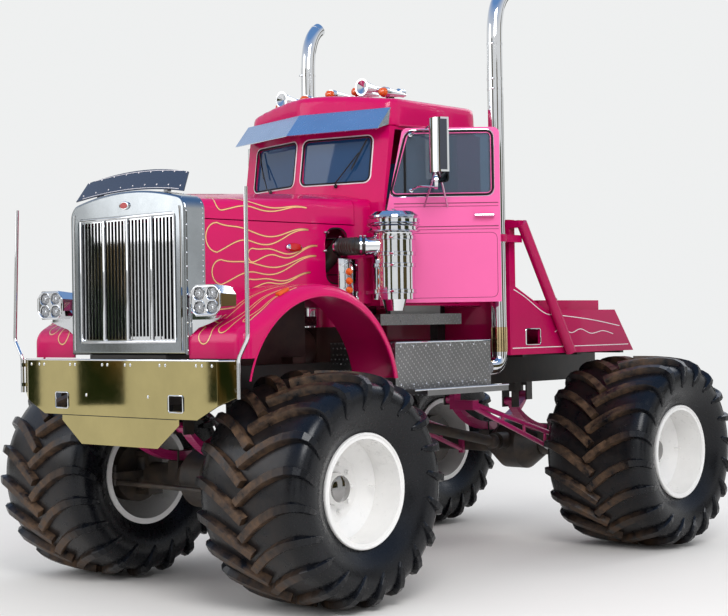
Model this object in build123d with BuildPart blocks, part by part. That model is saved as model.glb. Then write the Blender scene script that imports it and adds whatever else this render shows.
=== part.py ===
from build123d import *
import os
from math import atan2, cos, radians, sin, sqrt, tan

os.makedirs("parts", exist_ok=True)

# Monster truck: long-nosed tractor cab on four flotation tyres, in millimetres.
# X points to the vehicle's left, Y to its rear, Z up from the ground it stands on.

# Clearances
slip = 0.3  # between pieces that seat on each other
door_gap = 8.0  # around a door
panel_gap = 7.0  # around a hood lid
lid_front_gap = 20.0  # ahead of a lid, which moves forward as it lifts
joint_gap = 6.0  # between a knuckle and its yoke

# Tyres and wheels
tyre_radius = 822.0
tyre_width = 1040.0
lug_count = 20  # on each flank
lug_tip = 2.3  # half a lug's crest, in degrees round the tyre
lug_root = 3.6  # half a lug's foot
bead_radius = 372.0
rim_lip_radius = 400.0
rim_width = 828.0
rim_wall = 14.0
hub_nose = 34.0
dish_depth = 330.0  # from the rim's outer edge to the disc
wheelbase = 3824.0
front_axle_y = -1876.0
front_track = 2320.0
rear_track = 2640.0

# Axles and steering
axle_tube_radius = 90.0
bowl_radius = 225.0
pinion_length = 330.0
pinion_radius = 75.0
pinion_rise = 45.0
kingpin_inset = 380.0  # from the middle of a front tyre
kingpin_radius = 26.0
knuckle_radius = 62.0
knuckle_height = 250.0
yoke_plate = 34.0
spindle_radius = 55.0
hub_radius = 112.0
drum_radius = 230.0
drum_width = 140.0
steering_arm = 300.0
tie_rod_radius = 22.0
ball_radius = 34.0

# Frame
frame_half_width = 430.0
rail_flange = 80.0
rail_bottom = 1420.0
rail_top = 1670.0
rail_wall = 10.0
frame_overhang = 652.0  # behind the rear axle
crossmember_top = 1540.0
crossmember_wall = 60.0
hitch_plate = 20.0
hitch_spacing_x = 85.7
hitch_spacing_z = 44.5
hitch_hole_radius = 6.75

# Springs
spring_x = 340.0
spring_width = 90.0
spring_half_span = 560.0
spring_eye_z = 1250.0
spring_pack = 70.0
spring_eye_radius = 38.0
hanger_plate = 16.0
hanger_depth = 90.0

# Bumper
bumper_front_y = -2770.0
bumper_wing_y = -2700.0
bumper_bottom = 1333.0
bumper_top = 1739.0
bumper_face_half = 1068.0
bumper_half_width = 1192.0
bumper_plate = 12.0
bumper_clip_x = 859.0
bumper_clip_z = 1490.0
tow_hole_x = 645.0
tow_hole_z = 1437.0
tow_hole_width = 176.0
tow_hole_height = 104.0
skirt_top_half = 660.0
skirt_bottom_half = 430.0
skirt_knee_z = 1290.0
skirt_bottom = 1122.0
pole_radius = 14.0

# Radiator shell
shell_half_width = 651.0
shell_front_y = -2664.0
shell_rear_y = -2484.0
shell_bottom = 1767.0
shell_corner_z = 2770.0
shell_shoulder_x = 560.0
shell_shoulder_z = 2876.0
shell_crown = 2939.0
shell_step = 20.0
shell_step_depth = 10.0
grille_half_width = 537.0
grille_bottom = 1866.0
grille_top = 2746.0
grille_divider_width = 26.0
grille_bar_width = 12.0
grille_bar_depth = 22.0
grille_rail = 14.0
grille_divider_pitch = 270.0
bars_per_bay = 6
core_depth = 80.0

# Hood
hood_wall = 12.0
hood_front_half = 600.0
hood_rear_half = 695.0
hood_rear_y = -1010.0
cowl_front_y = -1003.0
hood_split_z = 2722.0
hood_foot = 2180.0
spine_half_width = 20.0
spine_gap = 5.0
hood_pin_radius = 3.7
hood_pin_ys = [(-2400.0, -2200.0), (-1840.0, -1640.0), (-1280.0, -1080.0)]

# Fenders
fender_outer_x = 1192.0
fender_wall = 12.0
arch_y = -1850.0
arch_z = 1423.0
arch_radius = 737.0
crown_radius = 830.0
crown_end_angle = 120.0
fender_nose_y = -2640.0
fender_nose_z = 1850.0
fender_slope_y = -2560.0
fender_bottom = 1745.0
fender_tail_z = 1560.0
fender_edge_radius = 90.0

# Cab
cab_half_width = 790.0
cab_wall = 40.0
cab_floor = 2100.0
cab_belt = 2900.0
cab_eaves = 3500.0
cab_rear_y = 436.0
firewall_y = -830.0
windshield_centre_y = -960.0
windshield_sweep = 13.5
windshield_rake = 85.0  # how far the top leans back between belt and eaves
cowl_half_width = 705.0
roof_side_z = 3700.0
roof_crown = 3790.0
roof_corner_radius = 140.0
roof_edge_radius = 110.0
roof_wall = 30.0
glass_thickness = 8.0

# Doors
hinge_y = -775.0
door_length = 902.0
door_bottom = 2120.0
door_top = 3470.0
door_slant_z = 2740.0
door_top_setback = 150.0
door_open_angle = 47.0
door_window_bottom = 2965.0
door_window_top = 3425.0
mirror_reach = 300.0
mirror_along = 360.0
mirror_z = 3300.0
mirror_height = 410.0
mirror_width = 175.0
mirror_depth = 90.0
mirror_swivel = 35.0
hinge_pin_radius = 4.7
hinge_pin_zs = [2190.0, 2580.0]

# Exhaust stacks
stack_x = 1065.0
stack_y = 300.0
stack_radius = 63.5
stack_top = 4470.0
stack_foot = 1600.0

# Steps
step_outer_x = 1100.0
step_front_y = -1014.0
step_rear_y = 136.0
step_bottom = 1466.0
step_top = 1819.0

# Deck
deck_half_width = 1100.0
deck_front_y = 400.0
deck_slope_length = 500.0
deck_peak = 2258.0
deck_tail_before = 18.0  # flat top's end, ahead of the rear axle
deck_overhang = 272.0  # behind the rear axle
deck_bottom = 1690.0
deck_top = 2055.0
deck_wall = 20.0
deck_cover = 85.0

# Derived places
rear_axle_y = front_axle_y + wheelbase
axle_z = tyre_radius
kingpin_x = front_track / 2 - kingpin_inset
frame_rear_y = rear_axle_y + frame_overhang
deck_slope_y = deck_front_y + deck_slope_length
deck_tail_y = rear_axle_y - deck_tail_before
deck_rear_y = rear_axle_y + deck_overhang
rail_x = frame_half_width - rail_flange / 2
rail_mid_z = (rail_bottom + rail_top) / 2
rail_depth = rail_top - rail_bottom
frame_front_y = bumper_front_y + bumper_plate
sweep_slope = tan(radians(windshield_sweep))


def section(y):
    """Upright plane across the vehicle, local axes X and Z."""
    return Plane((0, y, 0), x_dir=(1, 0, 0), z_dir=(0, -1, 0))


def side(x):
    """Upright plane along the vehicle, local axes Y and Z."""
    return Plane((x, 0, 0), x_dir=(0, 1, 0), z_dir=(1, 0, 0))


def block(x, y, z, mode=Mode.ADD):
    """Box between two X, two Y and two Z values."""
    with Locations((sum(x) / 2, sum(y) / 2, sum(z) / 2)):
        Box(abs(x[1] - x[0]), abs(y[1] - y[0]), abs(z[1] - z[0]), mode=mode)


def save(piece, name):
    """Labels a piece and writes it."""
    piece.part.label = name
    export_step(piece.part, f"parts/{name}.step")


def rod(start, end, radius):
    """Round bar between two points."""
    run = Vector(*end) - Vector(*start)
    with BuildPart() as bar:
        with BuildSketch(Plane(origin=start, z_dir=run)):
            Circle(radius)
        extrude(amount=run.length)
    return bar.part


# Tyres: a round carcass with curved lugs that wrap from the tread onto each flank
half_tyre = tyre_width / 2
half_rim = rim_width / 2
bead_x = half_rim - rim_wall - slip
lug_pitch = 360 / lug_count
tread_radius = 769.0
lug_stations = [  # lug's distance from the middle and radius, carcass's, turn in degrees
    (15, tyre_radius / cos(radians(lug_tip)), 15, 768, 0.0),
    (380, 803, 365, 755, 14.6),
    (0.962 * half_tyre, 735, 0.91 * half_tyre, 705, 15.2),
    (half_tyre, 600, 0.94 * half_tyre, 590, 10.6),
]


def on_tyre(x, radius, angle):
    """Point of the tyre, its angle counted from the ground towards the front."""
    turn = radians(angle)
    return Vector(x, -radius * sin(turn), -radius * cos(turn))


def lug_ring(hand, station):
    """Foot, crest, crest and foot of each lug, as angles and points."""
    lug_x, lug_radius, foot_x, foot_radius, turn = station
    shift = turn if hand > 0 else turn + lug_pitch / 2
    ring = []
    for lug in range(lug_count + 1):
        for x, radius, angle in (
            (foot_x, foot_radius, -lug_root),
            (lug_x, lug_radius, -lug_tip),
            (lug_x, lug_radius, lug_tip),
            (foot_x, foot_radius, lug_root),
        ):
            place = lug * lug_pitch + angle + shift
            ring.append((place - turn, on_tyre(hand * x, radius, place)))
    return ring[: 4 * lug_count + 1]


def plain_ring(x, radius, turn):
    """Ring with one corner between neighbouring lugs of both flanks."""
    places = [(step + 0.25) * lug_pitch + turn for step in range(lug_count + 1)]
    return [(place - turn, on_tyre(x, radius, place)) for place in places]


def facet(*points):
    return Face(Wire.make_polygon(points, close=True))


def zip_rings(first, second):
    """Triangles between two rings, taken in the order of their angles."""
    faces = []
    i = j = 0
    while i < len(first) - 1 or j < len(second) - 1:
        last = j == len(second) - 1
        if i < len(first) - 1 and (last or first[i + 1][0] <= second[j + 1][0]):
            faces.append(facet(first[i][1], first[i + 1][1], second[j][1]))
            i += 1
        else:
            faces.append(facet(first[i][1], second[j][1], second[j + 1][1]))
            j += 1
    return faces


flat = 1 / cos(radians(lug_pitch / 2))
flank_turn = lug_stations[-1][-1]
rim_rings = {
    hand: [
        plain_ring(hand * bead_x, (rim_lip_radius + slip) * flat, flank_turn),
        plain_ring(hand * bead_x, (bead_radius + slip) * flat, flank_turn),
    ]
    for hand in (-1, 1)
}
tyre_faces = []
for hand, (bead_ring, bore_ring) in rim_rings.items():
    rings = [plain_ring(0, tread_radius, 0.0)]
    rings += [lug_ring(hand, station) for station in lug_stations]
    rings += [bead_ring, bore_ring]
    for first, second in zip(rings, rings[1:]):
        tyre_faces += zip_rings(first, second)
tyre_faces += zip_rings(rim_rings[-1][1], rim_rings[1][1])
tyre = Solid(Shell(tyre_faces))

# Wheels: a deep dish with its hub, outboard towards local X
barrel_radius = bead_radius
inner_radius = bead_radius - rim_wall
dish_x = half_rim - dish_depth
hub_face_x = dish_x + 60
hub_back_x = -160.0
with BuildPart() as wheel:
    with BuildSketch(Plane.XY):
        with BuildLine():
            Polyline(
                (-half_rim, inner_radius),
                (-half_rim, rim_lip_radius),
                (-half_rim + rim_wall, rim_lip_radius),
                (-half_rim + rim_wall, barrel_radius),
                (half_rim - rim_wall, barrel_radius),
                (half_rim - rim_wall, rim_lip_radius),
                (half_rim, rim_lip_radius),
                (half_rim, inner_radius),
                (dish_x + 90, inner_radius),
                (dish_x + 15, 240),
                (dish_x + 15, hub_radius),
                (hub_face_x, hub_radius),
                (hub_face_x + hub_nose, hub_radius - 20),
                (hub_face_x + hub_nose, 0),
                (hub_face_x - 20, 0),
                (hub_face_x - 20, spindle_radius + slip),
                (hub_back_x, spindle_radius + slip),
                (hub_back_x, hub_radius),
                (dish_x, hub_radius),
                (dish_x, 240),
                (dish_x + 75, inner_radius),
                close=True,
            )
        make_face()
    revolve(axis=Axis.X)

# Each corner: name, side, axle place and track
corners = [
    ("front_left", 1, front_axle_y, front_track),
    ("front_right", -1, front_axle_y, front_track),
    ("rear_left", 1, rear_axle_y, rear_track),
    ("rear_right", -1, rear_axle_y, rear_track),
]
right_tyre = tyre.mirror(Plane.YZ)
right_wheel = wheel.part.mirror(Plane.YZ)
for corner, hand, corner_y, track in corners:
    with BuildPart() as corner_tyre:
        with Locations((hand * track / 2, corner_y, axle_z)):
            add(tyre if hand > 0 else right_tyre)
    save(corner_tyre, f"tyre_{corner}")
    with BuildPart() as corner_wheel:
        with Locations((hand * track / 2, corner_y, axle_z)):
            add(wheel.part if hand > 0 else right_wheel)
    save(corner_wheel, f"wheel_{corner}")

# Knuckles: kingpin boss, spindle, brake drum and a forward steering arm
spindle_end_x = front_track / 2 + hub_face_x - 20 - joint_gap
drum_x = kingpin_x + knuckle_radius + 12
yoke_half = knuckle_height / 2 + joint_gap
pin_reach = yoke_half + yoke_plate
with BuildPart() as knuckle_left:
    with Locations((kingpin_x, front_axle_y, axle_z)):
        Cylinder(knuckle_radius, knuckle_height)
        Cylinder(kingpin_radius, 2 * pin_reach)
    with BuildSketch(side(kingpin_x)):
        with Locations((front_axle_y, axle_z)):
            Circle(spindle_radius)
    extrude(amount=spindle_end_x - kingpin_x)
    with BuildSketch(side(drum_x)):
        with Locations((front_axle_y, axle_z)):
            Circle(drum_radius)
    extrude(amount=drum_width)
    block(
        (kingpin_x - 35, kingpin_x + 35),
        (front_axle_y - steering_arm, front_axle_y),
        (axle_z - 25, axle_z + 25),
    )
    with Locations((kingpin_x, front_axle_y - steering_arm, axle_z)):
        Cylinder(ball_radius, 50)
        Cylinder(tie_rod_radius - 6, 160)
save(knuckle_left, "knuckle_left")
with BuildPart() as knuckle_right:
    mirror(knuckle_left.part, about=Plane.YZ)
save(knuckle_right, "knuckle_right")

# Tie rod between the arms, its eyes under the balls
tie_rod_y = front_axle_y - steering_arm
tie_rod_z = axle_z - 25 - joint_gap - ball_radius / 2 - 4
with BuildPart() as tie_rod:
    with BuildSketch(side(-kingpin_x)):
        with Locations((tie_rod_y, tie_rod_z)):
            Circle(tie_rod_radius - 4)
    extrude(amount=2 * kingpin_x)
    with Locations(
        (kingpin_x, tie_rod_y, tie_rod_z), (-kingpin_x, tie_rod_y, tie_rod_z)
    ):
        Cylinder(ball_radius, 40)
        Hole(tie_rod_radius - 6 + slip, depth=60)
save(tie_rod, "tie_rod")


pad_top = axle_z + axle_tube_radius + 30


def axle(axle_y, half_length, pinion_side):
    """Tube, differential bowl, pinion nose and spring pads of one axle."""
    with BuildPart() as housing:
        with BuildSketch(side(-half_length)):
            with Locations((axle_y, axle_z)):
                Circle(axle_tube_radius)
        extrude(amount=2 * half_length)
        with BuildSketch(Plane((0, axle_y, axle_z), x_dir=(1, 0, 0), z_dir=(0, 0, 1))):
            with BuildLine():
                Polyline(
                    (-bowl_radius - 60, 0),
                    (-bowl_radius - 60, axle_tube_radius + 15),
                    (-110, bowl_radius),
                    (110, bowl_radius),
                    (bowl_radius + 60, axle_tube_radius + 15),
                    (bowl_radius + 60, 0),
                    close=True,
                )
            make_face()
        revolve(axis=Axis((0, axle_y, axle_z), (1, 0, 0)))
        with BuildSketch(section(axle_y)):
            with Locations((0, axle_z + pinion_rise)):
                Circle(pinion_radius)
        extrude(amount=-pinion_side * pinion_length)
        for x in (-spring_x, spring_x):
            block(
                (x - spring_width / 2 - 15, x + spring_width / 2 + 15),
                (axle_y - 90, axle_y + 90),
                (axle_z, pad_top),
            )
    return housing.part


with BuildPart() as axle_front:
    add(axle(front_axle_y, kingpin_x - knuckle_radius - 20, 1))
    # Yokes above and below each knuckle, bored for its kingpin
    for hand in (-1, 1):
        inner_x = kingpin_x - knuckle_radius - 60
        block(
            (hand * inner_x, hand * (inner_x + 48)),
            (front_axle_y - 70, front_axle_y + 70),
            (axle_z - pin_reach, axle_z + pin_reach),
        )
        for low in (axle_z + yoke_half, axle_z - pin_reach):
            block(
                (hand * inner_x, hand * (kingpin_x + 50)),
                (front_axle_y - 60, front_axle_y + 60),
                (low, low + yoke_plate),
            )
        with Locations((hand * kingpin_x, front_axle_y, axle_z)):
            Cylinder(kingpin_radius + slip, 3 * pin_reach, mode=Mode.SUBTRACT)
save(axle_front, "axle_front")

rear_spindle_end = rear_track / 2 + hub_face_x - 20 - joint_gap
rear_drum_x = rear_track / 2 + hub_back_x - drum_width - 12
with BuildPart() as axle_rear:
    add(axle(rear_axle_y, rear_drum_x + 20, -1))
    for hand in (-1, 1):
        with BuildSketch(side(hand * rear_drum_x)):
            with Locations((rear_axle_y, axle_z)):
                Circle(drum_radius)
        extrude(amount=hand * drum_width)
        with BuildSketch(side(hand * rear_drum_x)):
            with Locations((rear_axle_y, axle_z)):
                Circle(spindle_radius)
        extrude(amount=hand * (rear_spindle_end - rear_drum_x))
save(axle_rear, "axle_rear")

# Leaf springs: two arched packs an axle, each with rolled eyes
with BuildPart() as leaf_springs:
    for axle_y in (front_axle_y, rear_axle_y):
        for x in (-spring_x, spring_x):
            with BuildSketch(side(x - spring_width / 2)):
                with BuildLine():
                    low = ThreePointArc(
                        (axle_y - spring_half_span, spring_eye_z - spring_pack / 4),
                        (axle_y, pad_top),
                        (axle_y + spring_half_span, spring_eye_z - spring_pack / 4),
                    )
                    high = ThreePointArc(
                        (axle_y - spring_half_span, spring_eye_z + spring_pack / 4),
                        (axle_y, pad_top + spring_pack),
                        (axle_y + spring_half_span, spring_eye_z + spring_pack / 4),
                    )
                    Line(low @ 0, high @ 0)
                    Line(low @ 1, high @ 1)
                make_face()
                for eye_y in (axle_y - spring_half_span, axle_y + spring_half_span):
                    with Locations((eye_y, spring_eye_z)):
                        Circle(spring_eye_radius)
            extrude(amount=spring_width)
save(leaf_springs, "leaf_springs")

# Frame: two channel rails with posts under the cab
cab_post_ys = [-690.0, 330.0]
with BuildPart() as frame:
    with BuildSketch(section(frame_front_y)):
        for hand in (-1, 1):
            with Locations((hand * rail_x, rail_mid_z)):
                Rectangle(rail_flange, rail_depth)
            with Locations((hand * (rail_x - rail_wall), rail_mid_z)):
                Rectangle(
                    rail_flange, rail_depth - 2 * rail_wall, mode=Mode.SUBTRACT
                )
    extrude(amount=-(frame_rear_y - frame_front_y))
    for y in cab_post_ys:
        for x in (-rail_x, rail_x):
            block(
                (x - rail_flange / 2, x + rail_flange / 2),
                (y - 50, y + 50),
                (rail_top, cab_floor),
            )
save(frame, "frame")

# Crossmembers: bars between the rails, a drilled rear plate and the radiator's seat
member_half = frame_half_width - rail_wall - slip
crossmember_ys = [-2560.0, -1300.0, -330.0, 620.0]
crossmember_ys += [rear_axle_y - 548, rear_axle_y + 152]
with BuildPart() as crossmembers:
    for y in crossmember_ys:
        block(
            (-member_half, member_half),
            (y - crossmember_wall / 2, y + crossmember_wall / 2),
            (rail_bottom + rail_wall + slip, crossmember_top),
        )
    # Rear plate with four holes for a pintle hook
    block(
        (-member_half, member_half),
        (frame_rear_y - hitch_plate, frame_rear_y),
        (rail_bottom + rail_wall + slip, rail_top - rail_wall - slip),
    )
    with BuildSketch(section(frame_rear_y + 1)):
        with Locations((0, rail_mid_z)):
            with GridLocations(hitch_spacing_x, hitch_spacing_z, 2, 2):
                Circle(hitch_hole_radius)
    extrude(amount=hitch_plate + 2, mode=Mode.SUBTRACT)
    block(
        (-frame_half_width, frame_half_width),
        (shell_front_y, shell_rear_y),
        (rail_top + slip, shell_bottom),
    )
save(crossmembers, "crossmembers")

# Spring hangers: a head under the rail and two cheeks round each spring eye
cheek = spring_width / 2 + slip
with BuildPart() as spring_hangers:
    for axle_y in (front_axle_y, rear_axle_y):
        for end in (-1, 1):
            eye_y = axle_y + end * spring_half_span
            along_y = (eye_y - hanger_depth / 2, eye_y + hanger_depth / 2)
            for hand in (-1, 1):
                x = hand * spring_x
                block(
                    (x - hand * (cheek + hanger_plate), hand * frame_half_width),
                    along_y,
                    (spring_eye_z + 90, rail_bottom - slip),
                )
                for wall in (-1, 1):
                    inner = x + wall * cheek
                    block(
                        (inner, inner + wall * hanger_plate),
                        along_y,
                        (spring_eye_z - 50, spring_eye_z + 90),
                    )
save(spring_hangers, "spring_hangers")

# Engine: one block on side mounts, with bell housing and gearbox behind
engine_front_y = -2390.0
engine_rear_y = -1150.0
engine_half_width = 290.0
with BuildPart() as engine:
    block((-engine_half_width, engine_half_width), (engine_front_y, engine_rear_y), (1560, 2560))
    for y in (engine_front_y + 200, engine_rear_y - 200):
        block((-415, 415), (y - 60, y + 60), (rail_top, rail_top + 50))
    with BuildSketch(section(engine_rear_y)):
        with Locations((0, 1800)):
            Circle(235)
    with BuildSketch(section(engine_rear_y + 250)):
        with Locations((0, 1770)):
            Circle(165)
    loft()
    block((-170, 170), (engine_rear_y + 250, -420), (1600, 1940))
    block((-415, 415), (-560, -470), (rail_top, rail_top + 40))
save(engine, "engine")

# Transfer case under a crossmember, with a shaft to each axle
case_z = 1240.0
case_y = -330.0
case_half = 130.0
shaft_radius = 45.0
joint_radius = 68.0


def shaft(start, end):
    """Tube between two points, a flange at its start and a round joint at its end."""
    run = Vector(*end) - Vector(*start)
    plane = Plane(origin=start, z_dir=run)
    with BuildPart() as tube:
        with BuildSketch(plane):
            Circle(shaft_radius)
        extrude(amount=run.length)
        with Locations(end):
            Sphere(joint_radius)
    return tube.part


pinion_z = axle_z + pinion_rise
joint_offset = pinion_length + joint_radius + slip
front_shaft = shaft(
    (0, case_y - case_half, case_z - 20),
    (0, front_axle_y + joint_offset, pinion_z),
)
rear_shaft = shaft(
    (0, case_y + case_half, case_z - 20),
    (0, rear_axle_y - joint_offset, pinion_z),
)
with BuildPart() as transfer_case:
    block(
        (-230, 230),
        (case_y - case_half, case_y + case_half),
        (case_z - 160, rail_bottom - 60),
    )
    fillet(transfer_case.edges().filter_by(Axis.Y), 60)
    block(
        (-120, 120),
        (case_y - 60, case_y + 60),
        (rail_bottom - 70, rail_bottom + rail_wall),
    )
    add(front_shaft)
    add(rear_shaft)
    for end in (-1, 1):
        with BuildSketch(section(case_y)):
            with Locations((0, case_z - 20)):
                Circle(72)
        extrude(amount=end * (case_half + 24))
save(transfer_case, "transfer_case")

# Ladder bars: two converging rods each side, from the rear axle to the frame
bar_x = 600.0
bar_radius = 21.0
bar_length = 1428.0
bar_rungs = 3
bar_rear_y = rear_axle_y - axle_tube_radius - slip
bar_front_y = rear_axle_y - bar_length
bar_pivot_z = 1260.0
bar_low_z = 745.0
bar_high_z = 895.0
with BuildPart() as traction_bars:
    for hand in (-1, 1):
        x = hand * bar_x
        block(
            (x - 25, x + 25),
            (bar_rear_y - 30, bar_rear_y),
            (bar_low_z - 30, bar_high_z + 30),
        )
        ends = [
            (low, (x, bar_rear_y - 15, low), (x, bar_front_y, bar_pivot_z + rise))
            for low, rise in ((bar_low_z, -10), (bar_high_z, 20))
        ]
        for low, rear, front in ends:
            add(rod(rear, front, bar_radius))
        for rung in range(1, bar_rungs + 1):
            share = 0.23 * rung
            feet = [Vector(*rear) + (Vector(*front) - Vector(*rear)) * share for _, rear, front in ends]
            add(rod(feet[0], feet[1], bar_radius - 7))
        block(
            (hand * (frame_half_width - 55), x + hand * 25),
            (bar_front_y - 30, bar_front_y + 50),
            (bar_pivot_z - 35, bar_pivot_z + 45),
        )
        block(
            (hand * (frame_half_width - 55), hand * frame_half_width),
            (bar_front_y - 30, bar_front_y + 50),
            (bar_pivot_z - 35, rail_bottom - slip),
        )
save(traction_bars, "traction_bars")

# Bumper: a folded channel with swept ends, clipped lower corners and a skirt below
wing_angle = atan2(
    bumper_wing_y - bumper_front_y, bumper_half_width - bumper_face_half
)
inner_face_half = bumper_face_half - bumper_plate * tan(wing_angle / 2)
inner_wing_half = bumper_half_width - bumper_plate / sin(wing_angle)
inner_face_y = bumper_front_y + bumper_plate
with BuildPart() as bumper:
    with BuildSketch(Plane.XY.offset(bumper_bottom)):
        with BuildLine():
            Polyline(
                (-bumper_half_width, bumper_wing_y),
                (-bumper_face_half, bumper_front_y),
                (bumper_face_half, bumper_front_y),
                (bumper_half_width, bumper_wing_y),
                close=True,
            )
        make_face()
    extrude(amount=bumper_top - bumper_bottom)
    with BuildSketch(Plane.XY.offset(bumper_bottom + bumper_plate)):
        with BuildLine():
            Polyline(
                (-inner_wing_half, bumper_wing_y),
                (-inner_face_half, inner_face_y),
                (inner_face_half, inner_face_y),
                (inner_wing_half, bumper_wing_y),
                close=True,
            )
        make_face()
    extrude(
        amount=bumper_top - bumper_bottom - 2 * bumper_plate, mode=Mode.SUBTRACT
    )
    with BuildSketch(section(bumper_wing_y)):
        for hand in (-1, 1):
            with BuildLine():
                Polyline(
                    (hand * bumper_clip_x, bumper_bottom - 1),
                    (hand * (bumper_half_width + 1), bumper_bottom - 1),
                    (hand * (bumper_half_width + 1), bumper_clip_z),
                    close=True,
                )
            make_face()
    extrude(amount=bumper_wing_y - bumper_front_y + 1, mode=Mode.SUBTRACT)
    with BuildSketch(section(bumper_front_y + 2 * bumper_plate)):
        with Locations((-tow_hole_x, tow_hole_z), (tow_hole_x, tow_hole_z)):
            RectangleRounded(tow_hole_width, tow_hole_height, 12)
    extrude(amount=3 * bumper_plate, mode=Mode.SUBTRACT)
    with BuildSketch(section(inner_face_y + bumper_plate)):
        with BuildLine():
            Polyline(
                (-skirt_top_half, bumper_bottom + bumper_plate / 2),
                (-skirt_top_half, skirt_knee_z),
                (-skirt_bottom_half, skirt_bottom),
                (skirt_bottom_half, skirt_bottom),
                (skirt_top_half, skirt_knee_z),
                (skirt_top_half, bumper_bottom + bumper_plate / 2),
                close=True,
            )
        make_face()
    extrude(amount=bumper_plate)
    # The rails' ends come through the open back
    for x in (-rail_x, rail_x):
        block(
            (x - rail_flange / 2 - slip, x + rail_flange / 2 + slip),
            (inner_face_y, bumper_wing_y + 1),
            (rail_bottom - slip, rail_top + slip),
            mode=Mode.SUBTRACT,
        )
save(bumper, "bumper")

# Guide poles, clamped to the bumper's ends
pole_x = bumper_half_width + pole_radius + 14
with BuildPart() as pole:
    with BuildLine():
        FilletPolyline(
            (pole_x, bumper_wing_y - 8, 1480),
            (pole_x, bumper_wing_y - 8, 1745),
            (pole_x + 92, bumper_wing_y - 8, 1880),
            (pole_x + 70, bumper_wing_y + 12, 2880),
            radius=90,
        )
    with BuildSketch(Plane((pole_x, bumper_wing_y - 8, 1480), z_dir=(0, 0, 1))):
        Circle(pole_radius)
    sweep()
    for z in (1540.0, 1690.0):
        block(
            (bumper_half_width + slip, pole_x),
            (bumper_wing_y - 20, bumper_wing_y),
            (z - 14, z + 14),
        )
with BuildPart() as guide_poles:
    add(pole.part)
    mirror(pole.part, about=Plane.YZ)
save(guide_poles, "guide_poles")


def arched(y, half_width, foot, side_z, shoulder_x, shoulder_z, crown):
    """Upright face with straight sides, rounded shoulders and an arched top."""
    with BuildSketch(section(y)) as outline:
        with BuildLine():
            Polyline((0, foot), (half_width, foot), (half_width, side_z))
            TangentArc((half_width, side_z), (shoulder_x, shoulder_z), tangent=(0, 1))
            TangentArc((0, crown), (shoulder_x, shoulder_z), tangent=(1, 0))
            mirror(about=Plane.YZ)
        make_face()
    return outline.sketch


# Radiator shell: a deep arched surround with its grille opening
with BuildPart() as radiator_shell:
    extrude(
        arched(
            shell_front_y,
            shell_half_width,
            shell_bottom,
            shell_corner_z,
            shell_shoulder_x,
            shell_shoulder_z,
            shell_crown,
        ),
        amount=-(shell_rear_y - shell_front_y),
    )
    fillet(radiator_shell.faces().sort_by(Axis.Y)[0].outer_wire().edges(), 22)
    with BuildSketch(section(shell_front_y)):
        with Locations((0, (grille_bottom + grille_top) / 2)):
            RectangleRounded(
                2 * grille_half_width, grille_top - grille_bottom, 30
            )
    extrude(amount=-(shell_rear_y - shell_front_y), mode=Mode.SUBTRACT)
    with BuildSketch(section(shell_front_y)):
        with Locations((0, (grille_bottom + grille_top) / 2)):
            RectangleRounded(
                2 * (grille_half_width + shell_step),
                grille_top - grille_bottom + 2 * shell_step,
                30 + shell_step,
            )
    extrude(amount=-shell_step_depth, mode=Mode.SUBTRACT)
save(radiator_shell, "radiator_shell")

# Grille: thick dividers with fine bars between, joined by a frame
grille_y = shell_front_y + 20.0
grille_mid_z = (grille_bottom + grille_top) / 2
with BuildPart() as grille:
    with BuildSketch(section(grille_y)):
        with Locations((0, grille_mid_z)):
            RectangleRounded(
                2 * (grille_half_width - slip),
                grille_top - grille_bottom - 2 * slip,
                30 - slip,
            )
            Rectangle(
                2 * (grille_half_width - grille_rail),
                grille_top - grille_bottom - 2 * grille_rail,
                mode=Mode.SUBTRACT,
            )
        with Locations((0, grille_mid_z)):
            with GridLocations(grille_divider_pitch, 0, 3, 1):
                Rectangle(grille_divider_width, grille_top - grille_bottom - grille_rail)
        for bay in range(4):
            centre = (bay - 1.5) * grille_divider_pitch
            with Locations((centre, grille_mid_z)):
                with GridLocations(
                    grille_divider_pitch / (bars_per_bay + 1), 0, bars_per_bay, 1
                ):
                    Rectangle(grille_bar_width, grille_top - grille_bottom - grille_rail)
    extrude(amount=-grille_bar_depth)
save(grille, "grille")

# Radiator core behind the grille
with BuildPart() as radiator_core:
    block(
        (-grille_half_width + slip, grille_half_width - slip),
        (shell_rear_y - core_depth, shell_rear_y),
        (grille_bottom + 32, grille_top - 32),
    )
save(radiator_core, "radiator_core")

# Bug deflector: a raked shield on two feet along the shell's crown
deflector_half = 610.0
deflector_height = 170.0
deflector_plane = Plane(
    (0, shell_front_y + 62, shell_crown + 8), x_dir=(1, 0, 0), z_dir=(0, -0.86, 0.51)
)
crown_drop = shell_crown - shell_shoulder_z
foot_x = 380.0
foot_z = shell_crown - crown_drop * (foot_x / shell_shoulder_x) ** 2
with BuildPart() as bug_deflector:
    with BuildSketch(deflector_plane):
        with BuildLine():
            low = ThreePointArc(
                (-deflector_half, -crown_drop + 8), (0, 0), (deflector_half, -crown_drop + 8)
            )
            high = ThreePointArc(
                (-deflector_half + 40, deflector_height - crown_drop),
                (0, deflector_height),
                (deflector_half - 40, deflector_height - crown_drop),
            )
            Line(low @ 0, high @ 0)
            Line(low @ 1, high @ 1)
        make_face()
    extrude(amount=8)
    for x in (-foot_x, foot_x):
        block(
            (x - 20, x + 20),
            (shell_front_y + 60, shell_front_y + 95),
            (foot_z + 4, foot_z + 50),
        )
save(bug_deflector, "bug_deflector")

# Hood envelope, from the shell back to the cowl
front_face = [hood_front_half, 2790.0, 515.0, 2862.0, 2925.0]
rear_face = [hood_rear_half, 2845.0, 605.0, 2930.0, 3000.0]


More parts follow.
